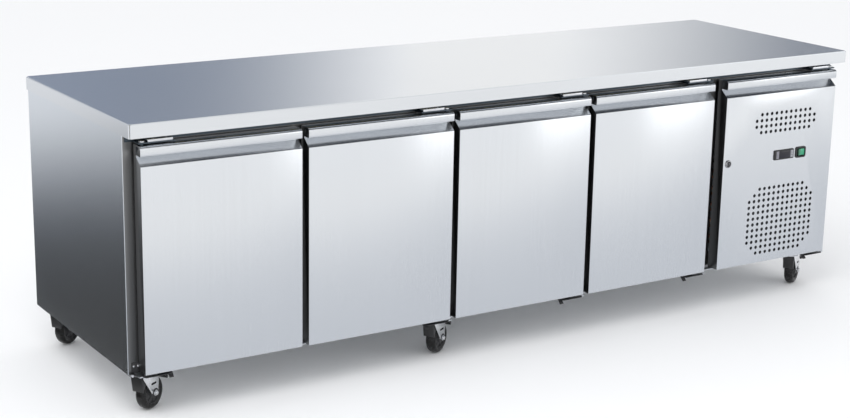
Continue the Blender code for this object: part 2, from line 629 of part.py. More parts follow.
def make_brake_pedal(place, stand):
    """Foot pedal pivoted between the fork's legs, sloping down to its pad."""
    along, height = PEDAL_PIVOT
    inner = LEG_INNER
    barrel = rod("y", (height, along), 0.0033, -inner + 0.0006, inner - 0.0006, sides=12)
    end_x, end_z = 0.088, 0.082
    tongue = [(height + 0.0022, along), (end_z + 0.003, end_x), (end_z - 0.002, end_x + 0.002)]
    tongue += [(end_z - 0.004, end_x - 0.004), (height - 0.0022, along)]
    blade = prism(tongue, "y", -inner + 0.002, inner - 0.002)
    slope = math.atan2(height - end_z, end_x - along)
    tilt = Matrix.Translation((along, 0, height)) @ Matrix.Rotation(slope, 4, "Y")
    pad = box((0.070, -0.019, -0.004), (0.088, 0.019, 0.003))
    pad = transformed(pad, tilt @ Matrix.Translation((-along, 0, 0)))
    shapes = [transformed(shape, stand) for shape in (blade, pad)]
    origin = stand @ Vector((along, 0, height))
    piece(f"{place}_brake_pedal", "black_plastic", transformed(barrel, stand), add=shapes, origin=origin)


def make_castor(place, x, y, braked):
    """One swivel castor. Its own frame has +X along its trail and origin on the floor under the kingpin."""
    stand = Matrix.Translation((x, y, 0)) @ Matrix.Rotation(TRAIL_ANGLE, 4, "Z")
    make_castor_plate(place, x, y)
    make_castor_fork(place, stand)
    make_castor_wheel(place, stand)
    if braked:
        make_brake_pedal(place, stand)


# ---------------------------------------------------------------- the whole object
def main():
    for existing in list(bpy.data.objects):
        bpy.data.objects.remove(existing)
    make_worktop()
    make_panels()
    make_front_frame()
    make_insulation()
    make_top_hinge_rail()
    for index in range(1, DOOR_COUNT + 1):
        make_door(index)
        make_shelf(index)
    make_unit_door()
    make_controller()
    make_switch()
    make_lock()
    make_condenser()
    make_compressor()
    make_evaporator()
    make_cable_gland()
    for row, y, braked in (("front", FRONT_CASTOR_Y, True), ("rear", REAR_CASTOR_Y, False)):
        for column, x in zip(("left", "middle", "right"), CASTOR_X):
            make_castor(f"{row}_{column}", x, y, braked)


main()
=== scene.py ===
"""Looks for the refrigerated counter: folded doors, controls, machinery, castors, materials and light.

Metres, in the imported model's own frame: +X along the counter, -Y to its front, +Z up.
"""

import math

import bmesh
import bpy
from mathutils import Matrix, Vector


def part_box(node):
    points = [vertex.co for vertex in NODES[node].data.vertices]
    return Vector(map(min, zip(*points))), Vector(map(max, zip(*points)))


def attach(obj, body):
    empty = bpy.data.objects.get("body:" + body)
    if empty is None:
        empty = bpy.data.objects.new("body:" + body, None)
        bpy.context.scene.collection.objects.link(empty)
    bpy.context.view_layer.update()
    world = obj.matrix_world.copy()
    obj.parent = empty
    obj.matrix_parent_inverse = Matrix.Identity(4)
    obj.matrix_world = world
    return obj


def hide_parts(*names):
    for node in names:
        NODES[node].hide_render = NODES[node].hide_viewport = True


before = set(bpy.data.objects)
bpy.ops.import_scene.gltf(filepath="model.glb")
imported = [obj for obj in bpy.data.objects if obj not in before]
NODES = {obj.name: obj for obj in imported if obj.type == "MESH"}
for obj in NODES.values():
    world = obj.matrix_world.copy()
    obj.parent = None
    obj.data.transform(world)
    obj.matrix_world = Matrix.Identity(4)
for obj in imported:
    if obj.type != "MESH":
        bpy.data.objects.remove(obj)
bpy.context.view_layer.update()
SCENE = bpy.context.scene

# ---------------------------------------------------------------- sizes, most of them from the frame
GAP = 0.0003
SHEET = 0.0015
DOOR_NUMBERS = (1, 2, 3, 4)
FACE_DROP, LIP_DROP = 0.051, 0.027  # from a door's top down to its face and to the foot of its lip
NECK_DEPTH = 0.026
LIP_RADIUS, LIP_UNDER = 0.009, 0.005
GASKET_INSET, GASKET_WIDTH = 0.015, 0.013
HINGE_INSET = 0.013
PIN_BORE = 0.005
BRACKET_TOP = 0.7225
DOOR_FACE, CONTROL_SEAT = -0.350, -0.3503
LOCK_RADIUS = 0.012
OPENING_INSET, OPENING_FOOT, OPENING_DROP = 0.030, 0.160, 0.036  # a door's opening, within its door
LOUVRE_ROWS, LOUVRE_FOOT, LOUVRE_PITCH, LOUVRE_SPAN = 12, 0.200, 0.030, (0.797, 1.103)
COMPRESSOR_PLACE, MOTOR_BACK = (0.945, 0.120), -0.129
CONDENSER_FAN, EVAPORATOR_FAN = Vector((0.945, -0.155, 0.290)), Vector((0.565, 0.120, 0.475))
VENT_X, VENT_PITCH_X, VENT_PITCH_Z, VENT_RADIUS = 0.970, 0.020, 0.0187, 0.0054
UPPER_VENTS = (0.601, (11, 13, 13, 11))
LOWER_VENTS = (0.3650, (10, 12) + (14,) * 8 + (12, 10))
WHEEL_RADIUS, WHEEL_HALF = 0.045, 0.015
TRAIL, TRAIL_ANGLE = 0.030, math.radians(31.3)
CASTORS = [f"{row}_{column}" for row in ("front", "rear") for column in ("left", "middle", "right")]

# Camera: place, direction and lens
CAMERA_PLACE = (-2.760, -4.138, 1.648)
CAMERA_YAW, CAMERA_PITCH, CAMERA_ROLL = map(math.radians, (32.505, 14.855, 1.064))
CAMERA_LENS = 72.65


# ---------------------------------------------------------------- mesh tools
def box(low, high):
    shape = bmesh.new()
    size, centre = Vector(high) - Vector(low), (Vector(high) + Vector(low)) / 2
    bmesh.ops.create_cube(shape, size=1, matrix=Matrix.Translation(centre) @ Matrix.Diagonal((*size, 1)))
    return shape


def prism(outline, along, start, end):
    """An outline extruded along an axis. Its two coordinates are the axis's next two, in order."""
    shape = bmesh.new()
    order = {"x": (0, 1, 2), "y": (1, 2, 0), "z": (2, 0, 1)}[along]

    def point(u, v, w):
        place = [0.0, 0.0, 0.0]
        for axis, value in zip(order, (w, u, v)):
            place[axis] = value
        return place

    face = shape.faces.new([shape.verts.new(point(u, v, start)) for u, v in outline])
    pushed = bmesh.ops.extrude_face_region(shape, geom=[face])["geom"]
    moved = [piece for piece in pushed if isinstance(piece, bmesh.types.BMVert)]
    bmesh.ops.translate(shape, vec=Vector(point(0, 0, end)) - Vector(point(0, 0, start)), verts=moved)
    bmesh.ops.recalc_face_normals(shape, faces=shape.faces)
    return shape


def arc(centre, radius, start, turn, steps):
    """Points along an arc, angles in degrees."""
    angles = [math.radians(start + turn * i / steps) for i in range(steps + 1)]
    return [(centre[0] + radius * math.cos(a), centre[1] + radius * math.sin(a)) for a in angles]


def circle(centre, radius, sides):
    return arc(centre, radius, 0, 360, sides)[:-1]


def round_rect(low, high, radius, steps=5):
    """Outline of a rectangle with rounded corners."""
    (x0, y0), (x1, y1) = low, high
    corners = ((x1 - radius, y1 - radius, 0), (x0 + radius, y1 - radius, 90))
    corners += ((x0 + radius, y0 + radius, 180), (x1 - radius, y0 + radius, 270))
    return [point for x, y, start in corners for point in arc((x, y), radius, start, 90, steps)]


def rod(along, centre, radius, start, end, sides=24):
    return prism(circle(centre, radius, sides), along, start, end)


def turned(profile, sides=48, ring=False):
    """(radius, height) points turned about the Z axis; they start and end on it, unless a ring."""
    shape = bmesh.new()
    verts = [shape.verts.new((radius, 0, height)) for radius, height in profile]
    edges = [shape.edges.new(pair) for pair in zip(verts, verts[1:] + verts[:1] if ring else verts[1:])]
    bmesh.ops.spin(
        shape, geom=verts + edges, cent=(0, 0, 0), axis=(0, 0, 1),
        angle=2 * math.pi, steps=sides, use_merge=True,
    )
    bmesh.ops.remove_doubles(shape, verts=shape.verts, dist=1e-6)
    bmesh.ops.recalc_face_normals(shape, faces=shape.faces)
    return shape


def route(points, bend, steps=5):
    """A polyline with its corners rounded, for a pipe or a wire."""
    points = [Vector(p) for p in points]
    path = [points[0]]
    for before, corner, after in zip(points, points[1:], points[2:]):
        start, end = corner + (
            before - corner
        ).normalized() * bend, corner + (after - corner).normalized() * bend
        for i in range(steps + 1):
            t = i / steps
            path.append(start * (1 - t) ** 2 + corner * 2 * t * (1 - t) + end * t**2)
    return path + [points[-1]]


def tube(path, radius, sides=10, loop=False):
    """A round wire or pipe along a path."""
    shape = bmesh.new()
    path = [Vector(p) for p in path]
    rings, across = [], None
    for i, here in enumerate(path):
        before = path[i - 1] if i or loop else here
        after = path[(i + 1) % len(path)] if i < len(path) - 1 or loop else here
        along = (after - before).normalized()
        across = along.orthogonal() if across is None else across - along * across.dot(along)
        across.normalize()
        side = along.cross(across)
        rings.append(
            [shape.verts.new(here + across * u + side * v) for u, v in circle((0, 0), radius, sides)]
        )
    pairs = list(zip(rings, rings[1:])) + ([(rings[-1], rings[0])] if loop else [])
    for first, second in pairs:
        for j in range(sides):
            k = (j + 1) % sides
            shape.faces.new((first[j], first[k], second[k], second[j]))
    if not loop:
        shape.faces.new(rings[0])
        shape.faces.new(rings[-1])
    bmesh.ops.recalc_face_normals(shape, faces=shape.faces)
    return shape


def moved(shape, matrix):
    bmesh.ops.transform(shape, matrix=matrix, verts=shape.verts)
    return shape


def shifted(shape, x, y, z):
    return moved(shape, Matrix.Translation((x, y, z)))


def rounded(shape, width, segments=2, limit=30.0):
    """Every edge sharper than the limit gets a small round."""
    bmesh.ops.recalc_face_normals(shape, faces=shape.faces)
    least = math.radians(limit)
    edges = [e for e in shape.edges if len(e.link_faces) == 2 and e.calc_face_angle(0) > least]
    bmesh.ops.bevel(shape, geom=edges, offset=width, segments=segments, profile=0.5, affect="EDGES")
    return shape


def joined(shapes):
    whole = bmesh.new()
    for shape in shapes:
        part = bpy.data.meshes.new("part")
        shape.to_mesh(part)
        shape.free()
        whole.from_mesh(part)
        bpy.data.meshes.remove(part)
    return whole


def carved(base, cutters):
    """The base shape with the cutters taken out of it."""
    objects = []
    for shape in [base] + cutters:
        mesh = bpy.data.meshes.new("tool")
        shape.to_mesh(mesh)
        shape.free()
        objects.append(bpy.data.objects.new("tool", mesh))
        SCENE.collection.objects.link(objects[-1])
    for cutter in objects[1:]:
        change = objects[0].modifiers.new("cut", "BOOLEAN")
        change.operation = "DIFFERENCE"
        change.object = cutter
    bpy.context.view_layer.update()
    result = bpy.data.meshes.new_from_object(objects[0].evaluated_get(bpy.context.evaluated_depsgraph_get()))
    for made in objects:
        bpy.data.objects.remove(made)
    shape = bmesh.new()
    shape.from_mesh(result)
    bpy.data.meshes.remove(result)
    return shape


def loop_frame(profile, low, high):
    """A mitred frame round a rectangle in XZ. The profile's points are (inset from the edge, y)."""
    shape = bmesh.new()
    rings = []
    for inset, y in profile:
        x0, z0, x1, z1 = low[0] + inset, low[1] + inset, high[0] - inset, high[1] - inset
        rings.append([shape.verts.new(p) for p in ((x0, y, z0), (x1, y, z0), (x1, y, z1), (x0, y, z1))])
    return shape, rings


def swept_frame(profile, low, high):
    """A mitred frame with a closed section."""
    shape, rings = loop_frame(profile, low, high)
    for first, second in zip(rings, rings[1:] + rings[:1]):
        for j in range(4):
            k = (j + 1) % 4
            shape.faces.new((first[j], first[k], second[k], second[j]))
    bmesh.ops.recalc_face_normals(shape, faces=shape.faces)
    return shape


def dished_panel(profile, low, high):
    """A rectangular moulding: steps of (inset, y) from its back rim inwards, closed across both ends."""
    shape, rings = loop_frame(profile, low, high)
    for first, second in zip(rings, rings[1:]):
        for j in range(4):
            k = (j + 1) % 4
            shape.faces.new((first[j], first[k], second[k], second[j]))
    shape.faces.new(rings[0])
    shape.faces.new(rings[-1])
    bmesh.ops.recalc_face_normals(shape, faces=shape.faces)
    return shape


def piece(name, shape, finish, body, slot, stands_for=(), sharp=40.0):
    """A visible piece that rides on a body, in place of the CAD nodes that it stands for."""
    mesh = bpy.data.meshes.new(name)
    shape.to_mesh(mesh)
    shape.free()
    mesh.materials.append(finish)
    mesh.shade_smooth()
    mesh.set_sharp_from_angle(angle=math.radians(sharp))
    made = bpy.data.objects.new(name, mesh)
    SCENE.collection.objects.link(made)
    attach(made, body)
    if stands_for:
        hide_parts(*stands_for)
    return made


# ---------------------------------------------------------------- materials
def shader(name, colour, roughness, metallic=0.0):
    """A new material and its Principled shader."""
    made = bpy.data.materials.new(name)
    made.use_nodes = True
    surface = made.node_tree.nodes["Principled BSDF"]
    surface.inputs["Base Color"].default_value = (*colour, 1)
    surface.inputs["Roughness"].default_value = roughness
    surface.inputs["Metallic"].default_value = metallic
    made.diffuse_color = (*colour, 1)
    return made, surface


def noise(tree, scale, stretch=(1, 1, 1), detail=3.0, rough=0.5):
    """A noise value over the object's own coordinates, stretched along an axis for grain."""
    place, mapping = tree.nodes.new("ShaderNodeTexCoord"), tree.nodes.new("ShaderNodeMapping")
    pattern = tree.nodes.new("ShaderNodeTexNoise")
    mapping.inputs["Scale"].default_value = stretch
    pattern.inputs["Scale"].default_value = scale
    pattern.inputs["Detail"].default_value = detail
    pattern.inputs["Roughness"].default_value = rough
    tree.links.new(place.outputs["Object"], mapping.inputs["Vector"])
    tree.links.new(mapping.outputs["Vector"], pattern.inputs["Vector"])
    return pattern.outputs["Fac"]


def ranged(tree, value, low, high, start=0.3, end=0.7):
    """The value mapped from start..end to low..high."""
    change = tree.nodes.new("ShaderNodeMapRange")
    for name, number in (("From Min", start), ("From Max", end), ("To Min", low), ("To Max", high)):
        change.inputs[name].default_value = number
    tree.links.new(value, change.inputs["Value"])
    return change.outputs["Result"]


def sum_of(tree, first, second):
    add = tree.nodes.new("ShaderNodeMath")
    add.operation = "ADD"
    tree.links.new(first, add.inputs[0])
    tree.links.new(second, add.inputs[1])
    return add.outputs[0]


def mixed(tree, factor, first, second):
    """A colour between two, by a factor."""
    blend = tree.nodes.new("ShaderNodeMix")
    blend.data_type = "RGBA"
    tree.links.new(factor, blend.inputs["Factor"])
    blend.inputs["A"].default_value = (*first, 1)
    blend.inputs["B"].default_value = (*second, 1)
    return blend.outputs["Result"]


def bumped(tree, surface, height, distance, strength=1.0):
    bump = tree.nodes.new("ShaderNodeBump")
    bump.inputs["Strength"].default_value = strength
    bump.inputs["Distance"].default_value = distance
    tree.links.new(height, bump.inputs["Height"])
    tree.links.new(bump.outputs["Normal"], surface.inputs["Normal"])


def brushed(name, along, tone=0.80, rough=0.26, grain=0.000009, blue=0.02):
    """Brushed stainless sheet: fine grain along one axis, soft handling marks and slight waviness."""
    light = (tone - blue, tone, tone + blue)
    dark = tuple(0.982 * value for value in light)
    made, surface = shader(name, light, rough, 1.0)
    tree = made.node_tree
    stretch = [1.0, 1.0, 1.0]
    stretch["xyz".index(along)] = 0.012
    streaks = noise(tree, 1500, stretch, detail=2.0)
    bands = noise(tree, 170, stretch, detail=4.0, rough=0.6)
    marks = noise(tree, 2.6, detail=5.0, rough=0.6)
    colour = mixed(tree, ranged(tree, bands, 0, 1), dark, light)
    tree.links.new(colour, surface.inputs["Base Color"])
    shine = sum_of(
        tree, ranged(tree, streaks, rough - 0.022, rough + 0.022), ranged(tree, marks, -0.008, 0.012)
    )
    tree.links.new(shine, surface.inputs["Roughness"])
    bumped(tree, surface, streaks, grain)
    return made


def speckled(name, colour, rough, scale=900, depth=0.00004, spread=0.12, metallic=0.0):
    """Moulded, cast or plated surface: small grain, cloudy sheen and slight colour change."""
    made, surface = shader(name, colour, rough, metallic)
    tree = made.node_tree
    fine, cloud = noise(tree, scale, detail=2.0), noise(tree, 35, detail=4.0)
    lighter = tuple(min(1.0, value * (1 + spread) + 0.002) for value in colour)
    darker = tuple(value * (1 - spread) for value in colour)
    tree.links.new(mixed(tree, ranged(tree, cloud, 0, 1), darker, lighter), surface.inputs["Base Color"])
    tree.links.new(ranged(tree, cloud, rough - 0.06, rough + 0.06), surface.inputs["Roughness"])
    bumped(tree, surface, fine, depth)
    return made


STEEL_X = brushed("steel_brushed_along", "x", tone=0.80, rough=0.22)
STEEL_Z = brushed("steel_brushed_upright", "z", tone=0.80, rough=0.25)
STEEL_SIDE = brushed("steel_side", "z", tone=0.80, rough=0.24, blue=0.035)
# Dark copy of the steel for the front frame, seen only between the doors: painted shade.
STEEL_FRAME_PAINTED_SHADE = brushed("steel_frame_painted_shade", "z", tone=0.26, rough=0.30, blue=0.0)
# Dark copy of the door steel for the doors' side returns: painted shade of the gaps between the doors.
STEEL_RETURN_PAINTED_SHADE = brushed("steel_door_return_painted_shade", "z", tone=0.22, rough=0.30, blue=0.004)
STEEL_Y = brushed("steel_brushed_across", "y", tone=0.76, rough=0.30)
LINER = brushed("steel_liner", "x", tone=0.74, rough=0.33)
RAIL = brushed("steel_rail_dark", "x", tone=0.11, rough=0.40)
ZINC = speckled("zinc_plate", (0.74, 0.75, 0.77), 0.24, 260, 0.00008, 0.08, 1.0)
CHROME = speckled("chrome_plate", (0.80, 0.81, 0.82), 0.10, 400, 0.00001, 0.03, 1.0)
DULL_PLUG = speckled("lock_plug", (0.22, 0.22, 0.23), 0.30, 500, 0.00003, 0.2, 1.0)
WIRE = speckled("shelf_plate", (0.76, 0.77, 0.78), 0.20, 300, 0.00003, 0.06, 1.0)
ALUMINIUM = speckled("aluminium_fins", (0.76, 0.77, 0.79), 0.34, 300, 0.00004, 0.08, 1.0)
COPPER = speckled("copper_pipe", (0.72, 0.36, 0.22), 0.30, 200, 0.00004, 0.15, 1.0)
BLACK_METAL = speckled("black_enamel", (0.014, 0.014, 0.015), 0.32, 500, 0.00006, 0.25)
BLACK_PLASTIC = speckled("black_moulding", (0.016, 0.016, 0.017), 0.42, 1400, 0.00005, 0.2)
GREY_PLASTIC = speckled("grey_moulding", (0.42, 0.43, 0.45), 0.45, 1400, 0.00004, 0.08)
BLACK_BRACKET = speckled("black_bracket", (0.020, 0.020, 0.022), 0.38, 700, 0.00006, 0.2)
TYRE = speckled("tyre_rubber", (0.009, 0.009, 0.009), 0.27, 600, 0.00004, 0.3)
WHEEL_CORE = speckled("wheel_core", (0.03, 0.03, 0.032), 0.40, 900, 0.00005, 0.2)
SEAL = speckled("seal_rubber", (0.20, 0.205, 0.215), 0.62, 1100, 0.00005, 0.12)
PAN = speckled("door_liner", (0.74, 0.75, 0.76), 0.38, 1200, 0.00004, 0.03)
FOAM = speckled("rigid_foam", (0.80, 0.72, 0.46), 0.92, 420, 0.0006, 0.14)
SCREEN = speckled("display_glass", (0.010, 0.010, 0.016), 0.10, 60, 0.000004, 0.2)
FASCIA = speckled("fascia_grey", (0.21, 0.21, 0.24), 0.40, 1500, 0.00003, 0.08)


# Darker copy of the chrome, used for the lock's collar, barrel, nut and cam.
CHROME_DARKER = speckled("lock_chrome_darker", (0.40, 0.40, 0.41), 0.22, 400, 0.00001, 0.08, 1.0)
TYRE.node_tree.nodes["Principled BSDF"].inputs["Specular IOR Level"].default_value = 0.3


def green_with_painted_shade():
    """Translucent rocker cap: dark at its left as painted shade, bright green at its right as a painted
    highlight.
    """
    made = speckled("rocker_green_painted_shade", (0.01, 0.22, 0.10), 0.16, 300, 0.00001, 0.15)
    surface, tree = made.node_tree.nodes["Principled BSDF"], made.node_tree
    place, split = tree.nodes.new("ShaderNodeTexCoord"), tree.nodes.new("ShaderNodeSeparateXYZ")
    tree.links.new(place.outputs["Object"], split.inputs["Vector"])
    # Painted shade and highlight: the base colour runs from near black at the left to bright green at the
    # right.
    brightness = ranged(tree, split.outputs["X"], 0, 1, 1.026, 1.044)
    tree.links.new(mixed(tree, brightness, (0.001, 0.012, 0.007), (0.02, 0.34, 0.17)), surface.inputs["Base Color"])
    surface.inputs["Coat Weight"].default_value = 0.6
    return made


GREEN = green_with_painted_shade()


def dress(finish, *names):
    """A CAD node that stays gets its finished material."""
    for name in names:
        node = NODES[name]
        if node.material_slots:
            node.material_slots[0].material = finish
        else:
            node.data.materials.append(finish)


# ---------------------------------------------------------------- small hardware
def screw(centre, direction, radius=0.0035, height=0.0018):
    """A domed cross-head screw, its head standing out along a direction."""
    head = turned(
        [(0, height), (radius * 0.55, height * 0.92), (radius * 0.9, height * 0.5), (radius, 0), (0, 0)], 20
    )
    arms = [box((-radius * 0.6, -radius * 0.12, height * 0.35), (radius * 0.6, radius * 0.12, height * 2))]
    arms.append(
        box((-radius * 0.12, -radius * 0.6, height * 0.35), (radius * 0.12, radius * 0.6, height * 2))
    )
    turn = Vector(direction).to_track_quat("Z", "Y").to_matrix().to_4x4()
    return moved(carved(head, arms), Matrix.Translation(centre) @ turn)


def hex_head(centre, direction, across, height):
    """A hexagonal bolt head or nut with a chamfered face and a washer under it."""
    washer = turned([(0, 0.0008), (across * 0.72, 0.0008), (across * 0.72, 0), (0, 0)], 24)
    head = rounded(prism(circle((0, 0), across * 0.577, 6), "z", 0.0008, height), 0.0004, 1)
    turn = Vector(direction).to_track_quat("Z", "Y").to_matrix().to_4x4()
    return moved(joined([washer, head]), Matrix.Translation(centre) @ turn)


# ---------------------------------------------------------------- cabinet
def make_cabinet():
    """Finishes of the folded sheets, hinge hardware, breaker strips and shelf supports."""
    dress(STEEL_X, "worktop")
    dress(STEEL_SIDE, "left_side_panel", "right_side_panel")
    dress(STEEL_Z, "back_panel")
    # The front frame gets the dark steel copy: painted shade where it shows between the doors.
    dress(STEEL_FRAME_PAINTED_SHADE, "front_frame")
    dress(STEEL_Y, "base_panel")
    dress(LINER, "inner_liner")
    dress(FOAM, "insulation")
    dress(RAIL, "top_hinge_rail")
    make_lower_brackets()
    make_upper_brackets()
    make_breaker_strips()
    make_pilasters()
    make_louvre_blades()
    make_divider_sheet()


def make_divider_sheet():
    """Steel sheet between the cold space's foam and the machine compartment."""
    frame_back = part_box("front_frame")[1].y
    back, floor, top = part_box("back_panel")[0].y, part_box("base_panel")[1].z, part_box("insulation")[1].z
    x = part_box("insulation")[1].x + GAP
    sheet = rounded(
        box((x, frame_back + 0.001, floor + 0.001), (x + 0.0008, back - 0.001, top - 0.001)), 0.0003, 1
    )
    lips = [
        box((x, frame_back + 0.001, z), (x + 0.012, back - 0.001, z + 0.0008))
        for z in (floor + 0.001, top - 0.002)
    ]
    piece("divider_sheet", joined([sheet] + lips), LINER, "cabinet", "brushed_steel")


def door_boxes():
    """(left, right, pivot x, low, high) of the four doors and the compartment door."""
    found = []
    for name in [f"door_{i}_skin" for i in DOOR_NUMBERS] + ["unit_door"]:
        low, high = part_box(name)
        pivot = low.x + HINGE_INSET if name == "door_1_skin" else high.x - HINGE_INSET
        found.append((low.x, high.x, pivot, low, high))
    return found


def make_lower_brackets():
    """Black hinge bracket under each door's hinged end, hooked at its tip and screwed to the frame."""
    frame_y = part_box("front_frame")[0].y
    for number, (_, _, pivot, low, _) in enumerate(door_boxes(), start=1):
        inward = 1 if number == 1 else -1
        start, end = pivot - inward * 0.030, pivot + inward * 0.066
        x0, x1 = sorted((start, end))
        foot, front = low.z - 0.0082, low.y + 0.002
        arm = [(start, frame_y), (end, frame_y), (end, front + 0.014), (end - inward * 0.010, front)]
        arm += [(pivot - inward * 0.010, front), (start, front + 0.030)]
        plate = rounded(prism(arm, "z", foot, foot + 0.0024), 0.0006)
        hook = [(front + 0.012, foot + 0.002), (front + 0.002, foot - 0.010), (front + 0.005, foot - 0.011)]
        hook += [(front + 0.016, foot)]
        tip = rounded(prism(hook, "x", *sorted((end - inward * 0.012, end))), 0.0005)
        rise = box((x0, frame_y - 0.0022, foot), (x1, frame_y - GAP, foot + 0.030))
        socket = turned([(0, 0.0062), (0.0075, 0.0062), (0.009, 0.0045), (0.009, 0), (0, 0)], 24)
        socket = shifted(socket, pivot, low.y + 0.021, foot + 0.0005)
        shape = joined([plate, tip, rounded(rise, 0.0005), socket])
        piece(f"lower_hinge_bracket_{number}", shape, BLACK_BRACKET, "cabinet", "black_plastic")
        heads = [
            screw((start + inward * x, frame_y - 0.0022, foot + 0.020), (0, -1, 0))
            for x in (0.006, 0.018)
        ]
        piece(f"lower_hinge_screws_{number}", joined(heads), ZINC, "cabinet", "zinc")


def make_upper_brackets():
    """Plated spring cover and screws on each upper hinge bracket."""
    for number, (_, _, pivot, low, _) in enumerate(door_boxes(), start=1):
        inward = 1 if number == 1 else -1
        z = BRACKET_TOP + GAP
        ends = sorted((pivot + inward * 0.012, pivot + inward * 0.080))
        cover = round_rect((ends[0], low.y + 0.010), (ends[1], low.y + 0.030), 0.003)
        shapes = [rounded(prism(cover, "z", z, z + 0.0065), 0.001)]
        cap = turned([(0, 0.0050), (0.006, 0.0046), (0.008, 0.0030), (0.008, 0), (0, 0)], 24)
        shapes.append(shifted(cap, pivot, low.y + 0.021, z))
        shapes += [
            screw((pivot + inward * x, low.y + 0.020, z + 0.0064), (0, 0, 1), 0.003)
            for x in (0.030, 0.065)
        ]
        piece(f"upper_hinge_cover_{number}", joined(shapes), ZINC, "cabinet", "zinc")


def make_breaker_strips():
    """Plastic strip that lines each opening of the front frame."""
    low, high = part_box("front_frame")
    for number, (left, right, _, _, door_high) in enumerate(door_boxes()[:-1], start=1):
        profile = [(0.0002, low.y + 0.001), (0.0010, low.y - 0.0004), (0.0022, low.y + 0.0006)]
        profile += [(0.0026, high.y - 0.003), (0.0014, high.y - 0.0005), (0.0002, high.y - 0.0012)]
        corner = (left + OPENING_INSET, OPENING_FOOT)
        shape = swept_frame(profile, corner, (right - OPENING_INSET, door_high.z - OPENING_DROP))
        sill = box(
            (left + OPENING_INSET + 0.0002, high.y - 0.0022, OPENING_FOOT + 0.0002),
            (right - OPENING_INSET - 0.0002, high.y - 0.0003, OPENING_FOOT + 0.0090)
        )
        piece(
            f"breaker_strip_{number}", joined([shape, rounded(sill, 0.0004)]), GREY_PLASTIC, "cabinet",
            "white_plastic"
        )


def make_pilasters():
    """Slotted upright strips that carry the shelves, and the clips in them."""
    low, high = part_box("inner_liner")
    depth, half, pitch = 0.0035, 0.009, 0.025
    z0, z1 = low.z + 0.030, high.z - 0.040
    slots = [
        box((-0.003, -1, z0 + 0.012 + pitch * i), (0.003, 1, z0 + 0.022 + pitch * i))
        for i in range(int((z1 - z0 - 0.02) / pitch))
    ]
    strip = carved(rounded(box((-half, 0, z0), (half, depth, z1)), 0.0008), slots)
    master = bpy.data.meshes.new("strip")
    strip.to_mesh(master)
    strip.free()
    shapes, clips = [], []
    for number in DOOR_NUMBERS:
        shelf_low, shelf_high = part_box(f"shelf_{number}")
        for x in (shelf_low.x - 0.014, shelf_high.x + 0.014):
            for y, out in ((high.y - 0.0012 - depth, -1), (-0.2685, 1)):
                copy = bmesh.new()
                copy.from_mesh(master)
                shapes.append(shifted(copy, x, y, 0))
                inner = y + (depth if out > 0 else 0)
                toward = 1 if x < shelf_low.x else -1
                ends = sorted((x, x + toward * 0.030))
                ys = sorted((inner, inner + out * 0.012))
                clip = box((ends[0], ys[0], shelf_low.z - 0.0035), (ends[1], ys[1], shelf_low.z - 0.0012))
                clips.append(rounded(clip, 0.0005))
    bpy.data.meshes.remove(master)
    piece("shelf_pilasters", joined(shapes), WIRE, "cabinet", "shelf_wire")
    piece("shelf_clips", joined(clips), ZINC, "cabinet", "shelf_wire")


def make_louvre_blades():
    """Slanted blade behind each slot of the back panel."""
    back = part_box("back_panel")[1].y
    shapes = []
    for row in range(LOUVRE_ROWS):
        z = LOUVRE_FOOT + LOUVRE_PITCH * row
        section = [(back - 0.0018, z + 0.0135), (back - 0.0105, z + 0.002), (back - 0.0115, z + 0.003)]
        section += [(back - 0.0030, z + 0.0145)]
        shapes.append(prism(section, "x", *LOUVRE_SPAN))
    piece("back_louvre_blades", joined(shapes), STEEL_X, "cabinet", "brushed_steel")


def make_shelves():
    """Wire shelves: a round rim, close cross wires and three carrying wires."""
    for number in DOOR_NUMBERS:
        low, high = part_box(f"shelf_{number}")
        z, rim, wire = (low.z + high.z) / 2, 0.0029, 0.0016
        corner = round_rect((low.x + rim, low.y + rim), (high.x - rim, high.y - rim), 0.012)
        shapes = [tube([(x, y, z) for x, y in corner], rim, 10, loop=True)]
        count = int((high.x - low.x) / 0.021)
        for i in range(1, count):
            x = low.x + (high.x - low.x) * i / count
            shapes.append(tube([(x, low.y + rim, z + 0.0008), (x, high.y - rim, z + 0.0008)], wire, 6))
        for i in (1, 2, 3):
            y = low.y + (high.y - low.y) * i / 4
            shapes.append(tube([(low.x + rim, y, z - 0.0010), (high.x - rim, y, z - 0.0010)], 0.0019, 8))
        piece(f"wire_shelf_{number}", joined(shapes), WIRE, "cabinet", "shelf_wire", [f"shelf_{number}"])


# ---------------------------------------------------------------- doors
def door_outline(low, high):
    """Section of a door: face, sloped finger grip, neck and rounded lip."""
    front, bend = low.y, 0.0016
    face_top, lip_foot, neck = high.z - FACE_DROP, high.z - LIP_DROP, low.y + NECK_DEPTH
    outline = [(high.y, low.z)] + arc((front + bend, low.z + bend), bend, 270, -90, 4)
    outline += [
        (front, face_top - 0.002), (front + 0.0004, face_top - 0.0006), (front + 0.0014, face_top + 0.0006)
    ]
    outline += [
        (neck - 0.0016, lip_foot - 0.0042), (neck - 0.0002, lip_foot - 0.0020), (neck + 0.0008, lip_foot)
    ]
    outline += arc((front + LIP_UNDER, lip_foot + LIP_UNDER), LIP_UNDER, 270, -90, 6)
    outline += arc((front + LIP_RADIUS, high.z - LIP_RADIUS), LIP_RADIUS, 180, -90, 8)
    return outline + [(high.y, high.z)]


def lip_notches(low, high):
    """Cutters for the open corner at each end of the rolled lip."""
    lip_foot = high.z - LIP_DROP
    y0, y1 = low.y + 0.0065, low.y + NECK_DEPTH - 0.002
    notch = [(y0 + 0.004, high.z - 0.0045), (y1, high.z - 0.0045), (y1, lip_foot + 0.0015)]
    return [
        prism(notch, "x", low.x - 0.01, low.x + 0.011),
        prism(notch, "x", high.x - 0.011, high.x + 0.01),
    ]


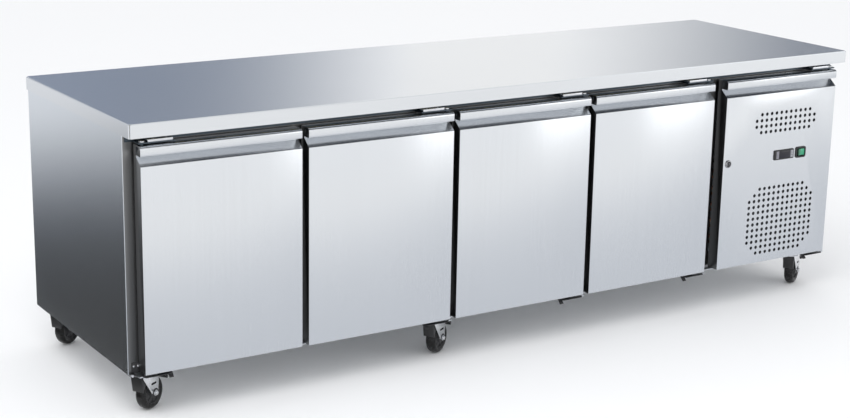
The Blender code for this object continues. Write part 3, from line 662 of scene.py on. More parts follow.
def door_skin(low, high, pivot):
    """The folded outer skin with its pocket, pin bores and open lip ends cut out."""
    blank = rounded(prism(door_outline(low, high), "x", low.x, high.x), 0.0010, 2, 50)
    ceiling = high.z - FACE_DROP - 0.003
    pocket = box((low.x + SHEET, low.y + SHEET, low.z + SHEET), (high.x - SHEET, high.y + 0.01, ceiling))
    hinge_y = low.y + 0.021
    bores = [
        rod("z", (pivot, hinge_y), PIN_BORE, low.z - 0.01, low.z + 0.012),
        rod("z", (pivot, hinge_y), PIN_BORE, high.z - 0.012, high.z + 0.01),
    ]
    return blank, [pocket] + bores + lip_notches(low, high)


def paint_shade_on_returns(skin):
    """The folded side returns get a dark copy of the steel: painted shade of the narrow gaps between the
    doors.
    """
    skin.data.materials.append(STEEL_RETURN_PAINTED_SHADE)
    for face in skin.data.polygons:
        if abs(face.normal.x) > 0.9:
            face.material_index = 1


def make_doors():
    """Four fridge doors, each with its moulded inner pan and ribbed magnetic seal."""
    for number, (left, right, pivot, low, high) in zip(DOOR_NUMBERS, door_boxes()):
        body = f"door_{number}"
        blank, cutters = door_skin(low, high, pivot)
        skin = piece(
            f"{body}_folded_skin", carved(blank, cutters), STEEL_Z, body, "brushed_steel", [f"{body}_skin"]
        )
        paint_shade_on_returns(skin)

        back = high.y
        ceiling = high.z - FACE_DROP - 0.0034
        corner, far = (left + 0.0018, low.z + 0.0018), (right - 0.0018, ceiling)
        steps = [
            (0, back - 0.030), (0, back - 0.0012), (0.0012, back), (0.038, back), (0.0405, back + 0.0010)
        ]
        steps += [(0.0460, back + 0.0052), (0.0485, back + 0.0060), (0.074, back + 0.0060)]
        steps += [(0.0765, back + 0.0052), (0.084, back + 0.0006), (0.0865, back)]
        pan = dished_panel(steps, corner, far)
        bore = rod("z", (pivot, low.y + 0.021), PIN_BORE, low.z - 0.01, low.z + 0.012)
        piece(f"{body}_moulded_pan", carved(pan, [bore]), PAN, body, "white_plastic", [f"{body}_inner_pan"])
        make_seal(body, low, high)


def make_seal(body, low, high):
    """Ribbed bellows seal with a flat magnet face."""
    start, end = high.y + GAP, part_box(f"{body}_gasket")[1].y
    width, depth = GASKET_WIDTH, end - start
    profile = [(0.003, start), (0.0015, start + depth * 0.20), (0.0032, start + depth * 0.36)]
    profile += [
        (0.0004, start + depth * 0.55), (0, start + depth * 0.80), (0.0008, end), (width - 0.0008, end)
    ]
    profile += [(width, start + depth * 0.80), (width - 0.0004, start + depth * 0.55)]
    profile += [(width - 0.0032, start + depth * 0.36), (width - 0.0015, start + depth * 0.20)]
    profile += [(width - 0.003, start)]
    corner = (low.x + GASKET_INSET, low.z + GASKET_INSET)
    shape = swept_frame(profile, corner, (high.x - GASKET_INSET, high.z - GASKET_INSET))
    piece(f"{body}_bellows_seal", shape, SEAL, body, "grey_rubber", [f"{body}_gasket"])


def vent_places():
    for top, rows in (UPPER_VENTS, LOWER_VENTS):
        for row, count in enumerate(rows):
            for column in range(count):
                yield VENT_X + (column - (count - 1) / 2) * VENT_PITCH_X, top - row * VENT_PITCH_Z


def make_unit_door():
    """The compartment door: punched round vents, stiffening returns and cut-outs for its controls."""
    _, _, pivot, low, high = door_boxes()[-1]
    blank, cutters = door_skin(low, high, pivot)
    holes = joined([rod("y", (z, x), VENT_RADIUS, low.y - 0.01, low.y + 0.008, 20) for x, z in vent_places()])
    windows = []
    for node in ("controller", "power_switch"):
        a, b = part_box(node)
        windows.append(
            box((a.x + 0.004, low.y - 0.01, a.z + 0.004), (b.x - 0.004, low.y + 0.01, b.z - 0.004))
        )
    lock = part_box("lock_barrel")
    x, z = (lock[0].x + lock[1].x) / 2, lock[1].z - LOCK_RADIUS
    windows.append(rod("y", (z, x), 0.0095, low.y - 0.01, low.y + 0.01))
    skin = carved(blank, cutters + [holes] + windows)
    paint_shade_on_returns(
        piece("compartment_door_skin", skin, STEEL_Z, "compartment_door", "brushed_steel", ["unit_door"])
    )


# ---------------------------------------------------------------- controls
def make_controller():
    """Thermostat: rounded black surround, grey fascia strips, dark display and three keys."""
    low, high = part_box("controller")
    front, seat = low.y, CONTROL_SEAT
    rim = rounded(prism(round_rect((low.z, low.x), (high.z, high.x), 0.004), "y", front, seat), 0.0010, 3)
    key_x = sum(v.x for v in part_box("button_set")) / 2
    keys = [sum(v.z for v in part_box(f"button_{name}")) / 2 for name in ("up", "set", "down")]
    half = 0.0033

    def key_wells():
        return [
            box((key_x - half, front - 0.01, z - half), (key_x + half, front + 0.0072, z + half))
            for z in keys
        ]

    screen_x = (low.x + 0.020, key_x - 0.0072)
    recess = box((screen_x[0], front - 0.01, low.z + 0.0045), (screen_x[1], front + 0.0008, high.z - 0.0045))
    housing = box((low.x + 0.0044, seat - 0.001, low.z + 0.0044), (high.x - 0.0044, high.y, high.z - 0.0044))
    vents = [
        box(
            (low.x + 0.010 + 0.008 * i, high.y - 0.02, high.z - 0.006),
            (low.x + 0.013 + 0.008 * i, high.y - 0.006, high.z)
        )
        for i in range(8)
    ]
    shape = joined(
        [carved(rim, key_wells() + [recess]), carved(rounded(housing, 0.0008), key_wells() + vents)]
    )
    piece("controller_case", shape, BLACK_PLASTIC, "compartment_door", "black_plastic", ["controller"])
    fascia = []
    for x0, x1 in ((low.x + 0.0085, screen_x[0] - 0.0006), (screen_x[1] + 0.0006, high.x - 0.0022)):
        outline = round_rect((low.z + 0.0035, x0), (high.z - 0.0035, x1), 0.0012, 3)
        strip = prism(outline, "y", front - 0.0003, front + 0.0004)
        fascia.append(carved(strip, key_wells()) if x1 > key_x else strip)
    piece("controller_fascia", joined(fascia), FASCIA, "compartment_door", "white_plastic")
    glass = box(
        (screen_x[0] + 0.0003, front + 0.0001, low.z + 0.0048),
        (screen_x[1] - 0.0003, front + 0.0007, high.z - 0.0048)
    )
    piece("controller_display", rounded(glass, 0.0002), SCREEN, "compartment_door", "black_plastic")
    for name, z in zip(("up", "set", "down"), keys):
        a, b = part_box(f"button_{name}")
        outline = round_rect((a.z, a.x), (b.z, b.x), 0.0012, 4)
        cap = rounded(prism(outline, "y", a.y, b.y), 0.0004, 2)
        piece(f"key_{name}", cap, GREY_PLASTIC, f"{name}_button", "white_plastic", [f"button_{name}"])


def make_switch():
    """Rocker switch with a deep rounded bezel and a green cap with painted shade and a painted highlight."""
    low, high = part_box("power_switch")
    front, seat, rim = low.y, CONTROL_SEAT, 0.0048
    bezel = prism(round_rect((low.z, low.x), (high.z, high.x), 0.0065, 6), "y", front, seat)
    well = prism(
        round_rect(
            (low.z + rim, low.x + rim), (high.z - rim, high.x - rim), 0.002, 4
        ), "y", front - 0.01, seat + 0.016
    )
    housing = box((low.x + 0.0044, seat - 0.001, low.z + 0.0044), (high.x - 0.0044, high.y, high.z - 0.0044))
    copy = prism(
        round_rect(
            (low.z + rim, low.x + rim), (high.z - rim, high.x - rim), 0.002, 4
        ), "y", front - 0.02, seat + 0.016
    )
    terminals = [
        rounded(box((x - 0.0004, high.y - 0.001, z - 0.003), (x + 0.0004, high.y + 0.008, z + 0.003)), 0.0003)
        for x in (low.x + 0.013, high.x - 0.013)
        for z in (low.z + 0.012, high.z - 0.012)
    ]
    shape = joined([carved(rounded(bezel, 0.0012, 3), [well]), carved(rounded(housing, 0.0008), [copy])])
    piece("switch_bezel", shape, BLACK_PLASTIC, "compartment_door", "black_plastic", ["power_switch"])
    piece("switch_terminals", joined(terminals), CHROME, "compartment_door", "chrome")

    a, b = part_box("power_switch_rocker")
    pivot = ((low.x + high.x) / 2, seat + 0.006, (low.z + high.z) / 2)
    half_x, half_z = (high.x - low.x) / 2 - rim - 0.0015, (b.z - a.z) / 2
    outline = [(-half_x, -0.0092), (-half_x + 0.0012, -0.0098), (-half_x * 0.5, -0.0084), (0, -0.0076)]
    outline += [(half_x * 0.5, -0.0084), (half_x - 0.0012, -0.0098), (half_x, -0.0092), (half_x * 0.8, 0.002)]
    outline += [(0, 0.006), (-half_x * 0.8, 0.002)]
    cap = rounded(prism(outline, "z", -half_z, half_z), 0.0006, 2, 60)
    place = Matrix.Translation(pivot) @ Matrix.Rotation(math.radians(8), 4, "Z")
    piece("rocker_cap", moved(cap, place), GREEN, "rocker", "green_plastic", ["power_switch_rocker"])


def make_lock():
    """Chrome cam lock: knurled collar, key plug with its slot, barrel and cam."""
    low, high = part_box("lock_barrel")
    x, z, face = (low.x + high.x) / 2, high.z - LOCK_RADIUS, DOOR_FACE
    collar = [(0.0078, 0.0016), (0.0086, 0.0034), (0.0104, 0.0034), (0.0116, 0.0024), (0.0120, 0.0010)]
    collar += [(0.0120, GAP), (0.0078, GAP)]
    plug = [(0, 0.0020), (0.0058, 0.0020), (0.0064, 0.0014), (0.0064, -0.080), (0, -0.080)]
    key = box((-0.0014, -0.0048, -0.012), (0.0014, 0.0048, 0.01))
    threads = [(0.0076 + 0.0004 * (i % 2), -0.004 - 0.0014 * i) for i in range(18)]
    barrel = [(0, -0.004), *threads, (0.0076, -0.032), (0, -0.032)]
    shapes = [turned(collar, ring=True), turned(barrel, 32)]
    shapes.append(hex_head((0, 0, -0.0795), (0, 0, -1), 0.009, 0.0045))
    to_front = Matrix.Translation((x, face, z)) @ Matrix.Rotation(math.pi / 2, 4, "X")
    shapes = [moved(shape, to_front) for shape in shapes]
    cam = round_rect((low.z, x - 0.005), (z + 0.006, x + 0.005), 0.003)
    shapes.append(rounded(prism(cam, "y", face + 0.0835, face + 0.0855), 0.0004))
    piece("cam_lock", joined(shapes), CHROME_DARKER, "lock", "chrome", ["lock_barrel"])
    piece("cam_lock_plug", moved(carved(turned(plug), [key]), to_front), DULL_PLUG, "lock", "chrome")


# ---------------------------------------------------------------- refrigeration
def fan_blades(hub, tip, depth, count, thick=0.0014):
    """Twisted, swept blades round the Z axis."""
    shapes = []
    radial, chord = 7, 7
    for blade in range(count):
        shape = bmesh.new()
        turn = 2 * math.pi * blade / count
        layers = []
        for offset in (-thick / 2, thick / 2):
            grid = []
            for i in range(radial + 1):
                u = i / radial
                radius = hub * 0.9 + (tip - hub * 0.9) * u
                reach = 0.42 + 0.10 * math.sin(math.pi * u)
                row = []
                for j in range(chord + 1):
                    v = 2 * j / chord - 1
                    edge = 1 - 0.25 * u**6 * v * v
                    angle = turn + v * reach * edge + 0.25 * u
                    height = depth * v * (0.85 - 0.25 * u) + 0.10 * depth * (1 - v * v)
                    row.append(
                        shape.verts.new((radius * math.cos(angle), radius * math.sin(angle), height + offset))
                    )
                grid.append(row)
            layers.append(grid)
        for grid in layers:
            for i in range(radial):
                for j in range(chord):
                    shape.faces.new((grid[i][j], grid[i + 1][j], grid[i + 1][j + 1], grid[i][j + 1]))
        first, second = layers
        rim = [(i, 0) for i in range(radial)] + [(radial, j) for j in range(chord)]
        rim += [(i, chord) for i in range(radial, 0, -1)] + [(0, j) for j in range(chord, 0, -1)]
        for (a, b), (c, d) in zip(rim, rim[1:] + rim[:1]):
            shape.faces.new((first[a][b], first[c][d], second[c][d], second[a][b]))
        bmesh.ops.recalc_face_normals(shape, faces=shape.faces)
        shapes.append(shape)
    return shapes


def make_fan(name, node, body, centre, turn, hub, tip, depth):
    """Blades on a domed hub, in place of the CAD fan."""
    dome = [(0, depth), (hub * 0.6, depth * 0.95), (hub * 0.93, depth * 0.7), (hub, depth * 0.3)]
    dome += [(hub, -depth), (0, -depth)]
    shapes = [turned(dome, 36)] + fan_blades(hub, tip, depth * 0.95, 5)
    place = Matrix.Translation(centre) @ turn
    piece(
        name, joined([moved(shape, place) for shape in shapes]), BLACK_PLASTIC, body, "black_plastic", [node]
    )


def fin_stack(low, high, axis, pitch, thick=0.0005):
    """Thin plates across an axis, over a box."""
    shapes = []
    span = high[axis] - low[axis]
    for i in range(int(span / pitch)):
        a, b = list(low), list(high)
        a[axis] = low[axis] + pitch * (i + 0.5)
        b[axis] = a[axis] + thick
        shapes.append(box(a, b))
    return shapes


def coil_bends(x, out, ys, zs, radius, along="x"):
    """U-bends that join a coil's tubes at one end."""
    shapes = []
    for first, second in zip(zs[::2], zs[1::2]):
        middle, half = (first + second) / 2, (second - first) / 2
        for other in ys:
            path = []
            for i in range(9):
                angle = math.pi * i / 8 - math.pi / 2
                reach, z = x + out * half * math.cos(angle), middle + half * math.sin(angle)
                path.append((reach, other, z) if along == "x" else (other, reach, z))
            shapes.append(tube(path, radius, 8))
    return shapes


def make_condenser():
    """Finned coil, its copper bends, fan shroud, motor and wire guard."""
    low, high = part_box("condenser")
    coil_low, coil_high = Vector((low.x, low.y, 0.150)), Vector((high.x, -0.190, high.z))
    inset = Vector((0.012, 0.003, 0.002))
    fins = fin_stack(coil_low + inset, coil_high - inset, 0, 0.0036)
    ends = [
        box((x, coil_low.y, coil_low.z), (x + 0.0015, coil_high.y, coil_high.z))
        for x in (coil_low.x + 0.009, coil_high.x - 0.0105)
    ]
    rails = [
        box((coil_low.x + 0.009, coil_low.y, z), (coil_high.x - 0.009, coil_high.y, z + 0.002))
        for z in (coil_low.z, coil_high.z - 0.002)
    ]
    piece("condenser_fins", joined(fins + ends + rails), ALUMINIUM, "cabinet", "aluminium", ["condenser"])

    zs = [coil_low.z + 0.022 + 0.0262 * i for i in range(10)]
    ys = (coil_low.y + 0.014, coil_high.y - 0.014)
    bends = coil_bends(coil_low.x + 0.009, -1, ys, zs, 0.0033) + coil_bends(
        coil_high.x - 0.009, 1, ys, zs[1:-1], 0.0033
    )
    x, _, z = CONDENSER_FAN
    way = [(coil_high.x - 0.004, ys[1], zs[-1]), (1.110, ys[1], zs[-1]), (1.130, -0.05, 0.33)]
    way += [(1.06, 0.085, 0.30), (0.99, 0.115, 0.300)]
    pipe = route(way, 0.018)
    bends.append(tube(pipe, 0.0032, 10))
    piece("condenser_pipes", joined(bends), COPPER, "cabinet", "aluminium")

    back = coil_high.y + 0.001
    left, right = coil_low.x + 0.004, coil_high.x - 0.004
    corners = [(coil_low.z, left), (coil_high.z, left), (coil_high.z, right), (coil_low.z, right)]
    plate = prism(corners, "y", back, back + 0.0015)
    plate = carved(plate, [rod("y", (z, x), 0.110, back - 0.01, back + 0.02, 48)])
    ring = turned([(0.110, 0), (0.1115, 0), (0.1115, 0.018), (0.110, 0.018)], 48, ring=True)
    ring = moved(ring, Matrix.Translation((x, back + 0.018, z)) @ Matrix.Rotation(math.pi / 2, 4, "X"))
    guard = []
    for radius in (0.030, 0.050, 0.070, 0.090, 0.108):
        guard.append(
            tube([(x + u, -0.131, z + v) for u, v in circle((0, 0), radius, 40)], 0.0011, 6, loop=True)
        )
    for i in range(4):
        angle = math.pi / 4 + math.pi / 2 * i
        u, v = math.cos(angle), math.sin(angle)
        spoke = [(x + 0.112 * u, back + 0.002, z + 0.112 * v), (x + 0.110 * u, -0.1325, z + 0.110 * v),
                 (x + 0.026 * u, -0.1325, z + 0.026 * v)]
        guard.append(tube(route(spoke, 0.006), 0.0020, 8))
    foot = box((low.x + 0.004, low.y + 0.004, low.z), (high.x - 0.004, low.y + 0.070, low.z + 0.0018))
    shroud = joined([plate, ring, rounded(foot, 0.0005)] + guard)
    piece("condenser_shroud", shroud, BLACK_METAL, "cabinet", "black_paint")

    motor = [
        (0, 0.000), (0.022, 0.000), (0.028, 0.003), (0.030, 0.008), (0.030, 0.034), (0.027, 0.040),
        (0, 0.042)
    ]
    motor = moved(
        turned(motor, 36), Matrix.Translation((x, MOTOR_BACK, z)) @ Matrix.Rotation(-math.pi / 2, 4, "X")
    )
    cooling = [
        moved(box((0.028, -0.0008, 0.006), (0.0335, 0.0008, 0.036)),
              Matrix.Translation((x, MOTOR_BACK, z)) @ Matrix.Rotation(-math.pi / 2, 4, "X")
              @ Matrix.Rotation(2 * math.pi * i / 16, 4, "Z"))
        for i in range(16)
    ]
    piece("condenser_fan_motor", joined([motor] + cooling), BLACK_METAL, "cabinet", "black_paint")


def make_compressor():
    """Hermetic compressor: welded shell, rubber feet, terminal cover and stub pipes."""
    x, y, z = *COMPRESSOR_PLACE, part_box("compressor")[0].z
    shell = [(0, 0.190), (0.028, 0.1885), (0.052, 0.182), (0.072, 0.170), (0.084, 0.152), (0.0895, 0.130)]
    shell += [
        (0.091, 0.112), (0.0945, 0.108), (0.0945, 0.101), (0.091, 0.097), (0.090, 0.055), (0.083, 0.028)
    ]
    shell += [(0.066, 0.014), (0.040, 0.010), (0, 0.010)]
    pot = shifted(turned(shell, 56), x, y, z)
    plate = round_rect((x - 0.115, y - 0.075), (x + 0.115, y + 0.075), 0.018)
    holes = [
        rod("z", (x + u, y + v), 0.010, z - 0.01, z + 0.03, 20)
        for u in (-0.095, 0.095)
        for v in (-0.055, 0.055)
    ]
    base = carved(rounded(prism(plate, "z", z + 0.006, z + 0.0095), 0.0008), holes)
    cover = rounded(box((x - 0.028, y - 0.115, z + 0.070), (x + 0.028, y - 0.080, z + 0.130)), 0.004, 3)
    clip = [
        (x + u, y + v, z + 0.100)
        for u,
        v in ((-0.032, -0.086), (-0.032, -0.117), (0.032, -0.117), (0.032, -0.086))
    ]
    clip = tube(route(clip, 0.004), 0.0012, 6)
    piece("compressor_shell", joined([pot, base]), BLACK_METAL, "cabinet", "black_paint", ["compressor"])
    piece("compressor_terminal_cover", joined([cover, clip]), BLACK_PLASTIC, "cabinet", "black_plastic")
    feet = [
        (0, 0), (0.013, 0), (0.014, 0.003), (0.011, 0.006), (0.011, 0.0095), (0.014, 0.012), (0.012, 0.015),
        (0, 0.015)
    ]
    grommets = [shifted(turned(feet, 24), x + u, y + v, z) for u in (-0.095, 0.095) for v in (-0.055, 0.055)]
    piece("compressor_feet", joined(grommets), TYRE, "cabinet", "black_rubber")
    ends = [
        (x + 0.060, y + 0.040, z + 0.150), (x - 0.060, y + 0.045, z + 0.150),
        (x - 0.070, y - 0.020, z + 0.150)
    ]
    stubs = [
        route([ends[0], (1.10, 0.20, z + 0.170), (1.10, 0.23, z + 0.36), (0.72, 0.23, z + 0.38)], 0.025),
        route([ends[1], (0.78, 0.20, z + 0.170), (0.78, 0.22, z + 0.34), (0.72, 0.20, z + 0.34)], 0.022),
        route([ends[2], (0.845, 0.06, z + 0.165), (0.835, 0.02, z + 0.20)], 0.008),
    ]
    piece(
        "compressor_pipes", joined([tube(path, 0.0038, 10) for path in stubs]), COPPER, "cabinet",
        "aluminium"
    )


def make_evaporator():
    """Finned coil on the divider, with end plates, bends, fan motor and ring guard."""
    low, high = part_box("evaporator")
    near = 0.600
    fins = fin_stack(
        Vector((near, low.y + 0.010, low.z + 0.002)), Vector((high.x, high.y - 0.010, high.z - 0.002)), 1,
        0.0042
    )
    plates = [box((near, y, low.z), (high.x, y + 0.0015, high.z)) for y in (low.y + 0.006, high.y - 0.0075)]
    x, y, z = EVAPORATOR_FAN
    shroud = prism([
        (low.y + 0.008, low.z), (high.y - 0.008, low.z), (high.y - 0.008, high.z), (low.y + 0.008, high.z)
    ],
                   "x", near - 0.0035, near - 0.002)
    shroud = carved(shroud, [rod("x", (y, z), 0.086, near - 0.02, near + 0.02, 48)])
    piece(
        "evaporator_fins", joined(fins + plates + [shroud]), ALUMINIUM, "cabinet", "aluminium",
        ["evaporator"]
    )
    zs = [low.z + 0.020 + 0.026 * i for i in range(10)]
    columns = (near + 0.012, high.x - 0.012)
    bends = coil_bends(low.y + 0.006, -1, columns, zs, 0.0033, "y")
    bends += coil_bends(high.y - 0.006, 1, columns, zs[1:-1], 0.0033, "y")
    piece("evaporator_pipes", joined(bends), COPPER, "cabinet", "aluminium")
    motor = turned([(0, 0), (0.015, 0), (0.018, 0.002), (0.018, 0.018), (0.015, 0.021), (0, 0.021)], 28)
    motor = moved(motor, Matrix.Translation((x + 0.0125, y, z)) @ Matrix.Rotation(math.pi / 2, 4, "Y"))
    arms = []
    for i in range(4):
        angle = math.pi / 4 + math.pi / 2 * i
        u, v = math.cos(angle), math.sin(angle)
        arms.append(tube(
            [(x + 0.020, y + 0.014 * u, z + 0.014 * v), (x + 0.030, y + 0.096 * u, z + 0.096 * v)], 0.0022, 8
        ))
    piece("evaporator_fan_motor", joined([motor] + arms), BLACK_METAL, "cabinet", "black_paint")


def make_cable_gland():
    """Ribbed gland with a hexagonal flange on the back panel."""
    low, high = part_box("cable_gland")
    centre = (low + high) / 2
    profile = [
        (0, 0.0014), (0.0055, 0.0016), (0.0085, 0.0016), (0.0115, 0.0010), (0.0118, 0.0002), (0.0072, 0.0002)
    ]
    profile += [(0.0072 - 0.0005 * (i % 2), -0.001 - 0.0016 * i) for i in range(10)] + [
        (0.0066, -0.018), (0, -0.018)
    ]
    place = Matrix.Translation((centre.x, high.y - 0.0017, centre.z)) @ Matrix.Rotation(-math.pi / 2, 4, "X")
    piece(
        "cable_gland_body", moved(turned(profile, 32), place), BLACK_PLASTIC, "cabinet", "black_plastic",
        ["cable_gland"]
    )


# ---------------------------------------------------------------- castors
def castor_stand(place):
    """The castor's own frame: +X along its trail, origin on the floor under the kingpin."""
    low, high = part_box(f"{place}_castor_plate")
    centre = (low + high) / 2
    return Matrix.Translation((centre.x, centre.y, 0)) @ Matrix.Rotation(TRAIL_ANGLE, 4, "Z")


def fork_leg():
    """Side view of a fork leg: broad at the crown, tapering round the axle boss."""
    outline = [(0.1050, -0.022), (0.1050, 0.045)] + [(0.092, 0.0465), (0.075, 0.0455), (0.058, 0.0435)]
    outline += arc((WHEEL_RADIUS, TRAIL), 0.0125, 78, -158, 8)
    outline += [(0.045, 0.0150), (0.056, 0.0080), (0.072, -0.0035), (0.088, -0.0150), (0.097, -0.0205)]
    return outline


def make_castor(place):
    """Bolted top plate, swivel head, pressed fork, wheel and, in front, the brake pedal."""
    stand = castor_stand(place)
    low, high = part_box(f"{place}_castor_plate")
    top = high.z
    outline = round_rect((low.x, low.y), (high.x, high.y), 0.006)
    plate = rounded(prism(outline, "z", top - 0.0028, top), 0.0006)
    centre = Vector((stand.translation.x, stand.translation.y, 0))
    head = [
        (0, top - 0.0025), (0.027, top - 0.0025), (0.0285, top - 0.0045), (0.0285, 0.1098), (0.0262, 0.1072)
    ]
    head += [
        (0.006, 0.1072), (0.006, 0.1015), (0.0105, 0.1015), (0.0098, 0.0980), (0.0070, 0.0965), (0, 0.0965)
    ]
    shapes = [plate, shifted(turned(head, 40), centre.x, centre.y, 0)]
    for u in (-0.038, 0.038):
        for v in (-0.028, 0.028):
            shapes.append(hex_head((centre.x + u, centre.y + v, top - 0.0028), (0, 0, -1), 0.0085, 0.0050))
    piece(f"{place}_swivel_head", joined(shapes), ZINC, "cabinet", "zinc", [f"{place}_castor_plate"])

    inner, thick = 0.0175, 0.003
    crown = turned([(0.0068, 0.1062), (0.020, 0.1062), (0.0255, 0.1058), (0.0278, 0.1042), (0.0278, 0.1020),
                    (0.0068, 0.1026)], 40, ring=True)
    bridge = round_rect((-0.0225, -inner - thick), (0.0462, inner + thick), 0.004)
    bridge = carved(prism(bridge, "z", 0.1020, 0.1050), [rod("z", (0, 0), 0.0068, 0.09, 0.12)])
    shapes = [crown, rounded(bridge, 0.0008)]
    for start in (inner, -inner - thick):
        slot = prism(
            round_rect((0.0700, 0.0120), (0.0760, 0.0340), 0.0029, 4), "y", start - 0.01,
            start + thick + 0.01
        )
        leg = carved(rounded(prism(fork_leg(), "y", start, start + thick), 0.0009, 2), [slot])
        shapes.append(leg)
    shapes.append(rod("y", (WHEEL_RADIUS, TRAIL), 0.0058, -inner - thick - 0.001, inner + thick + 0.001, 24))
    shapes.append(hex_head((TRAIL, -inner - thick, WHEEL_RADIUS), (0, -1, 0), 0.011, 0.0052))
    shapes.append(hex_head((TRAIL, inner + thick, WHEEL_RADIUS), (0, 1, 0), 0.011, 0.0052))
    fork = joined([moved(shape, stand) for shape in shapes])
    piece(f"{place}_pressed_fork", fork, ZINC, f"{place}_swivel", "zinc", [f"{place}_castor_fork"])
    make_guard(place, stand, inner)
    make_wheel(place, stand)
    if place.startswith("front"):
        make_pedal(place, stand, inner)


def make_guard(place, stand, inner):
    """Black thread guard that hangs from the crown in front of the tyre."""
    sweep = arc((WHEEL_RADIUS, TRAIL), WHEEL_RADIUS + 0.0030, 352, -66, 10)
    tip_z, tip_x = sweep[-1]
    outline = [
        (0.1012, 0.024), *sweep, (tip_z + 0.0006, tip_x - 0.0022), (0.0980, -0.0245), (0.1012, -0.0245)
    ]
    shape = prism(outline, "y", -inner + 0.0008, inner - 0.0008)
    piece(
        f"{place}_thread_guard", moved(rounded(shape, 0.0005), stand), BLACK_PLASTIC, f"{place}_swivel",
        "black_plastic"
    )


def make_wheel(place, stand):
    """Tyre with moulded edge lines on a ribbed core with a bearing cap."""
    half, radius = WHEEL_HALF, WHEEL_RADIUS
    side = [
        (0.0300, half - 0.0022), (0.0325, half - 0.0010), (0.0350, half - 0.0004), (0.0362, half - 0.0010)
    ]
    side += [
        (0.0380, half - 0.0006), (0.0410, half - 0.0022), (0.0432, half - 0.0048),
        (radius - 0.0005, half - 0.0080)
    ]
    side += [(radius, half - 0.0110)]
    profile = side + [(r, -h) for r, h in reversed(side)]
    tyre = turned(profile, 64, ring=True)
    core = [
        (0.0070, half + 0.0010), (0.0120, half + 0.0010), (0.0135, half - 0.0005), (0.0140, half - 0.0045)
    ]
    core += [(0.0270, half - 0.0060), (0.0285, half - 0.0028), (0.0305, half - 0.0026)]
    hub = turned(core + [(r, -h) for r, h in reversed(core)], 48, ring=True)
    ribs = []
    for i in range(8):
        for sign in (-1, 1):
            z0, z1 = sorted((sign * (half - 0.0062), sign * (half - 0.0034)))
            rib = rounded(box((0.0132, -0.0010, z0), (0.0280, 0.0010, z1)), 0.0003, 1)
            ribs.append(moved(rib, Matrix.Rotation(math.pi / 4 * i, 4, "Z")))
    lay = stand @ Matrix.Translation((TRAIL, 0, radius)) @ Matrix.Rotation(math.pi / 2, 4, "X")
    body = f"{place}_wheel"
    piece(f"{place}_tyre", moved(tyre, lay), TYRE, body, "black_rubber", [f"{place}_castor_wheel"])
    piece(f"{place}_wheel_core", moved(joined([hub] + ribs), lay), WHEEL_CORE, body, "black_plastic")


def make_pedal(place, stand, inner):
    """Plated brake lever with a black foot pad."""
    along, height = 0.042, 0.0985
    body = f"front_{place.split('_')[1]}_pedal"
    barrel = rod("y", (height, along), 0.0031, -inner + 0.0008, inner - 0.0008)
    centre_line = [(along, height), (0.056, 0.0965), (0.068, 0.0910), (0.078, 0.0835), (0.086, 0.0755)]
    upper = [(z + 0.0015, x) for x, z in centre_line]
    lower = [(z - 0.0015, x) for x, z in reversed(centre_line)]
    lever = rounded(prism(upper + lower, "y", -0.0145, 0.0145), 0.0006)
    side = [
        (0.0990, 0.0480), (0.0925, 0.0690), (0.0780, 0.0860), (0.0740, 0.0820), (0.0880, 0.0660),
        (0.0930, 0.0480)
    ]
    flanges = [rounded(prism(side, "y", y, y + 0.0016), 0.0004) for y in (-0.0161, 0.0145)]
    shapes = [moved(shape, stand) for shape in [barrel, lever] + flanges]
    piece(f"{place}_brake_lever", joined(shapes), ZINC, body, "zinc", [f"{place}_brake_pedal"])
    tip = [
        (0.0672, 0.0845), (0.0655, 0.0880), (0.0668, 0.0908), (0.0710, 0.0915), (0.0790, 0.0890),
        (0.0815, 0.0860)
    ]
    tip += [(0.0800, 0.0835)]
    pad = rounded(prism(tip, "y", -0.0175, 0.0175), 0.0016, 3)
    piece(f"{place}_foot_pad", moved(pad, stand), BLACK_PLASTIC, body, "black_plastic")


# ---------------------------------------------------------------- stage, light and camera
def reflected_card(name, centre, size, turn, near, far, along="Y", span=(0.0, 1.0), middle=None):
    """A studio card that only reflections see, shaded from one tone to another."""
    mesh = bpy.data.meshes.new(name)
    half_x, half_y = size[0] / 2, size[1] / 2
    mesh.from_pydata(
        [(-half_x, -half_y, 0), (half_x, -half_y, 0), (half_x, half_y, 0), (-half_x, half_y, 0)], [],
        [(0, 1, 2, 3)]
    )
    made = bpy.data.objects.new(name, mesh)
    made.location, made.rotation_euler = centre, turn
    SCENE.collection.objects.link(made)
    finish = bpy.data.materials.new(name)
    finish.use_nodes = True
    tree = finish.node_tree
    tree.nodes.clear()
    place, split = tree.nodes.new("ShaderNodeTexCoord"), tree.nodes.new("ShaderNodeSeparateXYZ")
    ramp, brightness = tree.nodes.new("ShaderNodeValToRGB"), tree.nodes.new("ShaderNodeEmission")
    output = tree.nodes.new("ShaderNodeOutputMaterial")
    tree.links.new(place.outputs["Object"], split.inputs["Vector"])
    tree.links.new(ranged(tree, split.outputs[along], 0, 1, *span), ramp.inputs["Fac"])
    ramp.color_ramp.interpolation = "B_SPLINE" if middle else "LINEAR"
    ramp.color_ramp.elements[0].color, ramp.color_ramp.elements[1].color = (*near, 1), (*far, 1)
    for position, colour in middle or ():
        ramp.color_ramp.elements.new(position).color = (*colour, 1)
    tree.links.new(ramp.outputs["Color"], brightness.inputs["Color"])
    tree.links.new(brightness.outputs[0], output.inputs["Surface"])
    mesh.materials.append(finish)
    for ray in ("camera", "diffuse", "shadow", "transmission", "volume_scatter"):
        setattr(made, f"visible_{ray}", False)


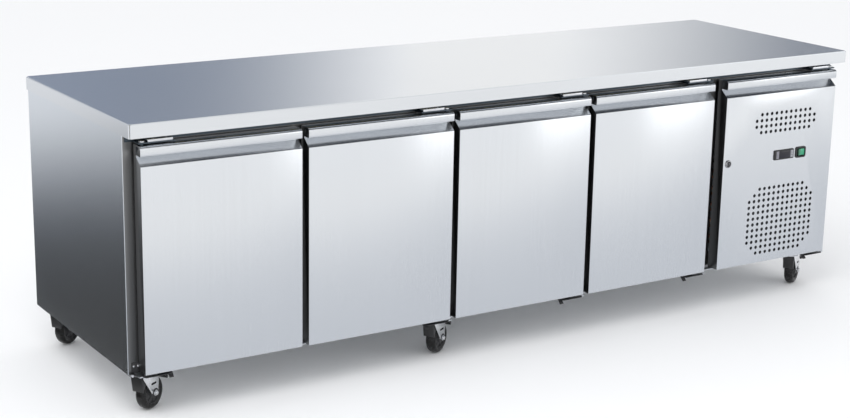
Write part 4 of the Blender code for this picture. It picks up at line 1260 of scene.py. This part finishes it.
def make_stage():
    mesh = bpy.data.meshes.new("studio_floor")
    reach = 30
    mesh.from_pydata(
        [(-reach, -reach, 0), (reach, -reach, 0), (reach, reach, 0), (-reach, reach, 0)], [], [(0, 1, 2, 3)]
    )
    floor = bpy.data.objects.new("studio_floor", mesh)
    SCENE.collection.objects.link(floor)
    finish, surface = shader("studio_floor", (0.93, 0.93, 0.93), 0.85)
    surface.inputs["Specular IOR Level"].default_value = 0.1
    mesh.materials.append(finish)

    def grey(value, blue=0.0):
        return (value - blue / 2, value, value + blue)

    # Behind: seen in the worktop, dark at the left, white in the middle and grey at the right.
    middle = [(0.22, grey(0.28, 0.08)), (0.38, grey(0.30, 0.07)), (0.55, grey(1.3)), (0.68, grey(1.15))]
    place, size = (3.0, 5.0, 2.4), (12.0, 3.2)
    reflected_card(
        "card_behind", place, size, (
            math.pi / 2, 0, 0
        ), grey(0.42, 0.11), grey(0.14, 0.06), "X", (-3.8, 3.4), middle
    )
    # On the floor at the left: seen in the side panel, dark near it.
    middle = [(0.35, grey(0.054, 0.004)), (0.62, grey(0.22, 0.03))]
    place, size = (-3.4, 2.4, 0.0012), (4.3, 6.0)
    reflected_card(
        "card_left", place, size, (0, 0, 0), grey(0.052), grey(0.98, 0.03), "Y", (-2.4, 1.1), middle
    )
    # On the floor in front: seen in the doors, brighter further out.
    middle = [(0.5, grey(0.88, 0.03))]
    place, size = (1.8, -4.0, 0.0012), (9.0, 7.2)
    reflected_card(
        "card_front", place, size, (0, 0, 0), grey(1.02), grey(0.64, 0.05), "Y", (0.4, 3.45), middle
    )
    # Overhead: seen in the sloped grips.
    reflected_card("card_above", (2.0, -0.9, 3.0), (12.0, 6.0), (0, 0, 0), grey(0.03, 0.01), grey(0.03, 0.01))


def make_light():
    world = bpy.data.worlds.new("studio")
    SCENE.world = world
    world.use_nodes = True
    back = world.node_tree.nodes["Background"]
    back.inputs["Color"].default_value = (0.97, 0.98, 1.0, 1)
    back.inputs["Strength"].default_value = 1.02
    for name, place, size, power in (
        ("key_softbox", (-2.6, -2.2, 3.6), 2.6, 60),
        ("fill_softbox", (4.2, -3.6, 1.6), 2.4, 14),
    ):
        lamp = bpy.data.lights.new(name, "AREA")
        lamp.size, lamp.energy = size, power
        made = bpy.data.objects.new(name, lamp)
        made.location = place
        made.rotation_mode = "QUATERNION"
        made.rotation_quaternion = (Vector((0, 0, 0.4)) - Vector(place)).to_track_quat("-Z", "Y")
        made.visible_camera = False
        SCENE.collection.objects.link(made)


def make_camera():
    lens = bpy.data.cameras.new("camera")
    lens.lens, lens.sensor_width = CAMERA_LENS, 36
    lens.clip_start, lens.clip_end = 0.05, 100
    made = bpy.data.objects.new("camera", lens)
    forward = Vector((
        math.sin(CAMERA_YAW) * math.cos(CAMERA_PITCH), math.cos(CAMERA_YAW) * math.cos(CAMERA_PITCH),
        -math.sin(CAMERA_PITCH),
    ))
    level = Vector((math.cos(CAMERA_YAW), -math.sin(CAMERA_YAW), 0))
    upright = level.cross(forward)
    right = level * math.cos(CAMERA_ROLL) + upright * math.sin(CAMERA_ROLL)
    up = upright * math.cos(CAMERA_ROLL) - level * math.sin(CAMERA_ROLL)
    made.matrix_world = Matrix.Translation(CAMERA_PLACE) @ Matrix((right, up, -forward)).transposed().to_4x4()
    SCENE.collection.objects.link(made)
    SCENE.camera = made
    SCENE.view_settings.view_transform = "Standard"


make_cabinet()
make_shelves()
make_doors()
make_unit_door()
make_controller()
make_switch()
make_lock()
make_condenser()
make_fan(
    "condenser_fan_blades", "condenser_fan", "condenser_blades", CONDENSER_FAN,
    Matrix.Rotation(math.pi / 2, 4, "X"), 0.022, 0.104, 0.013
)
make_compressor()
make_evaporator()
make_fan(
    "evaporator_fan_blades", "evaporator_fan", "evaporator_blades", EVAPORATOR_FAN,
    Matrix.Rotation(math.pi / 2, 4, "Y"), 0.016, 0.084, 0.009
)
make_cable_gland()
for castor in CASTORS:
    make_castor(castor)
make_stage()
make_light()
make_camera()
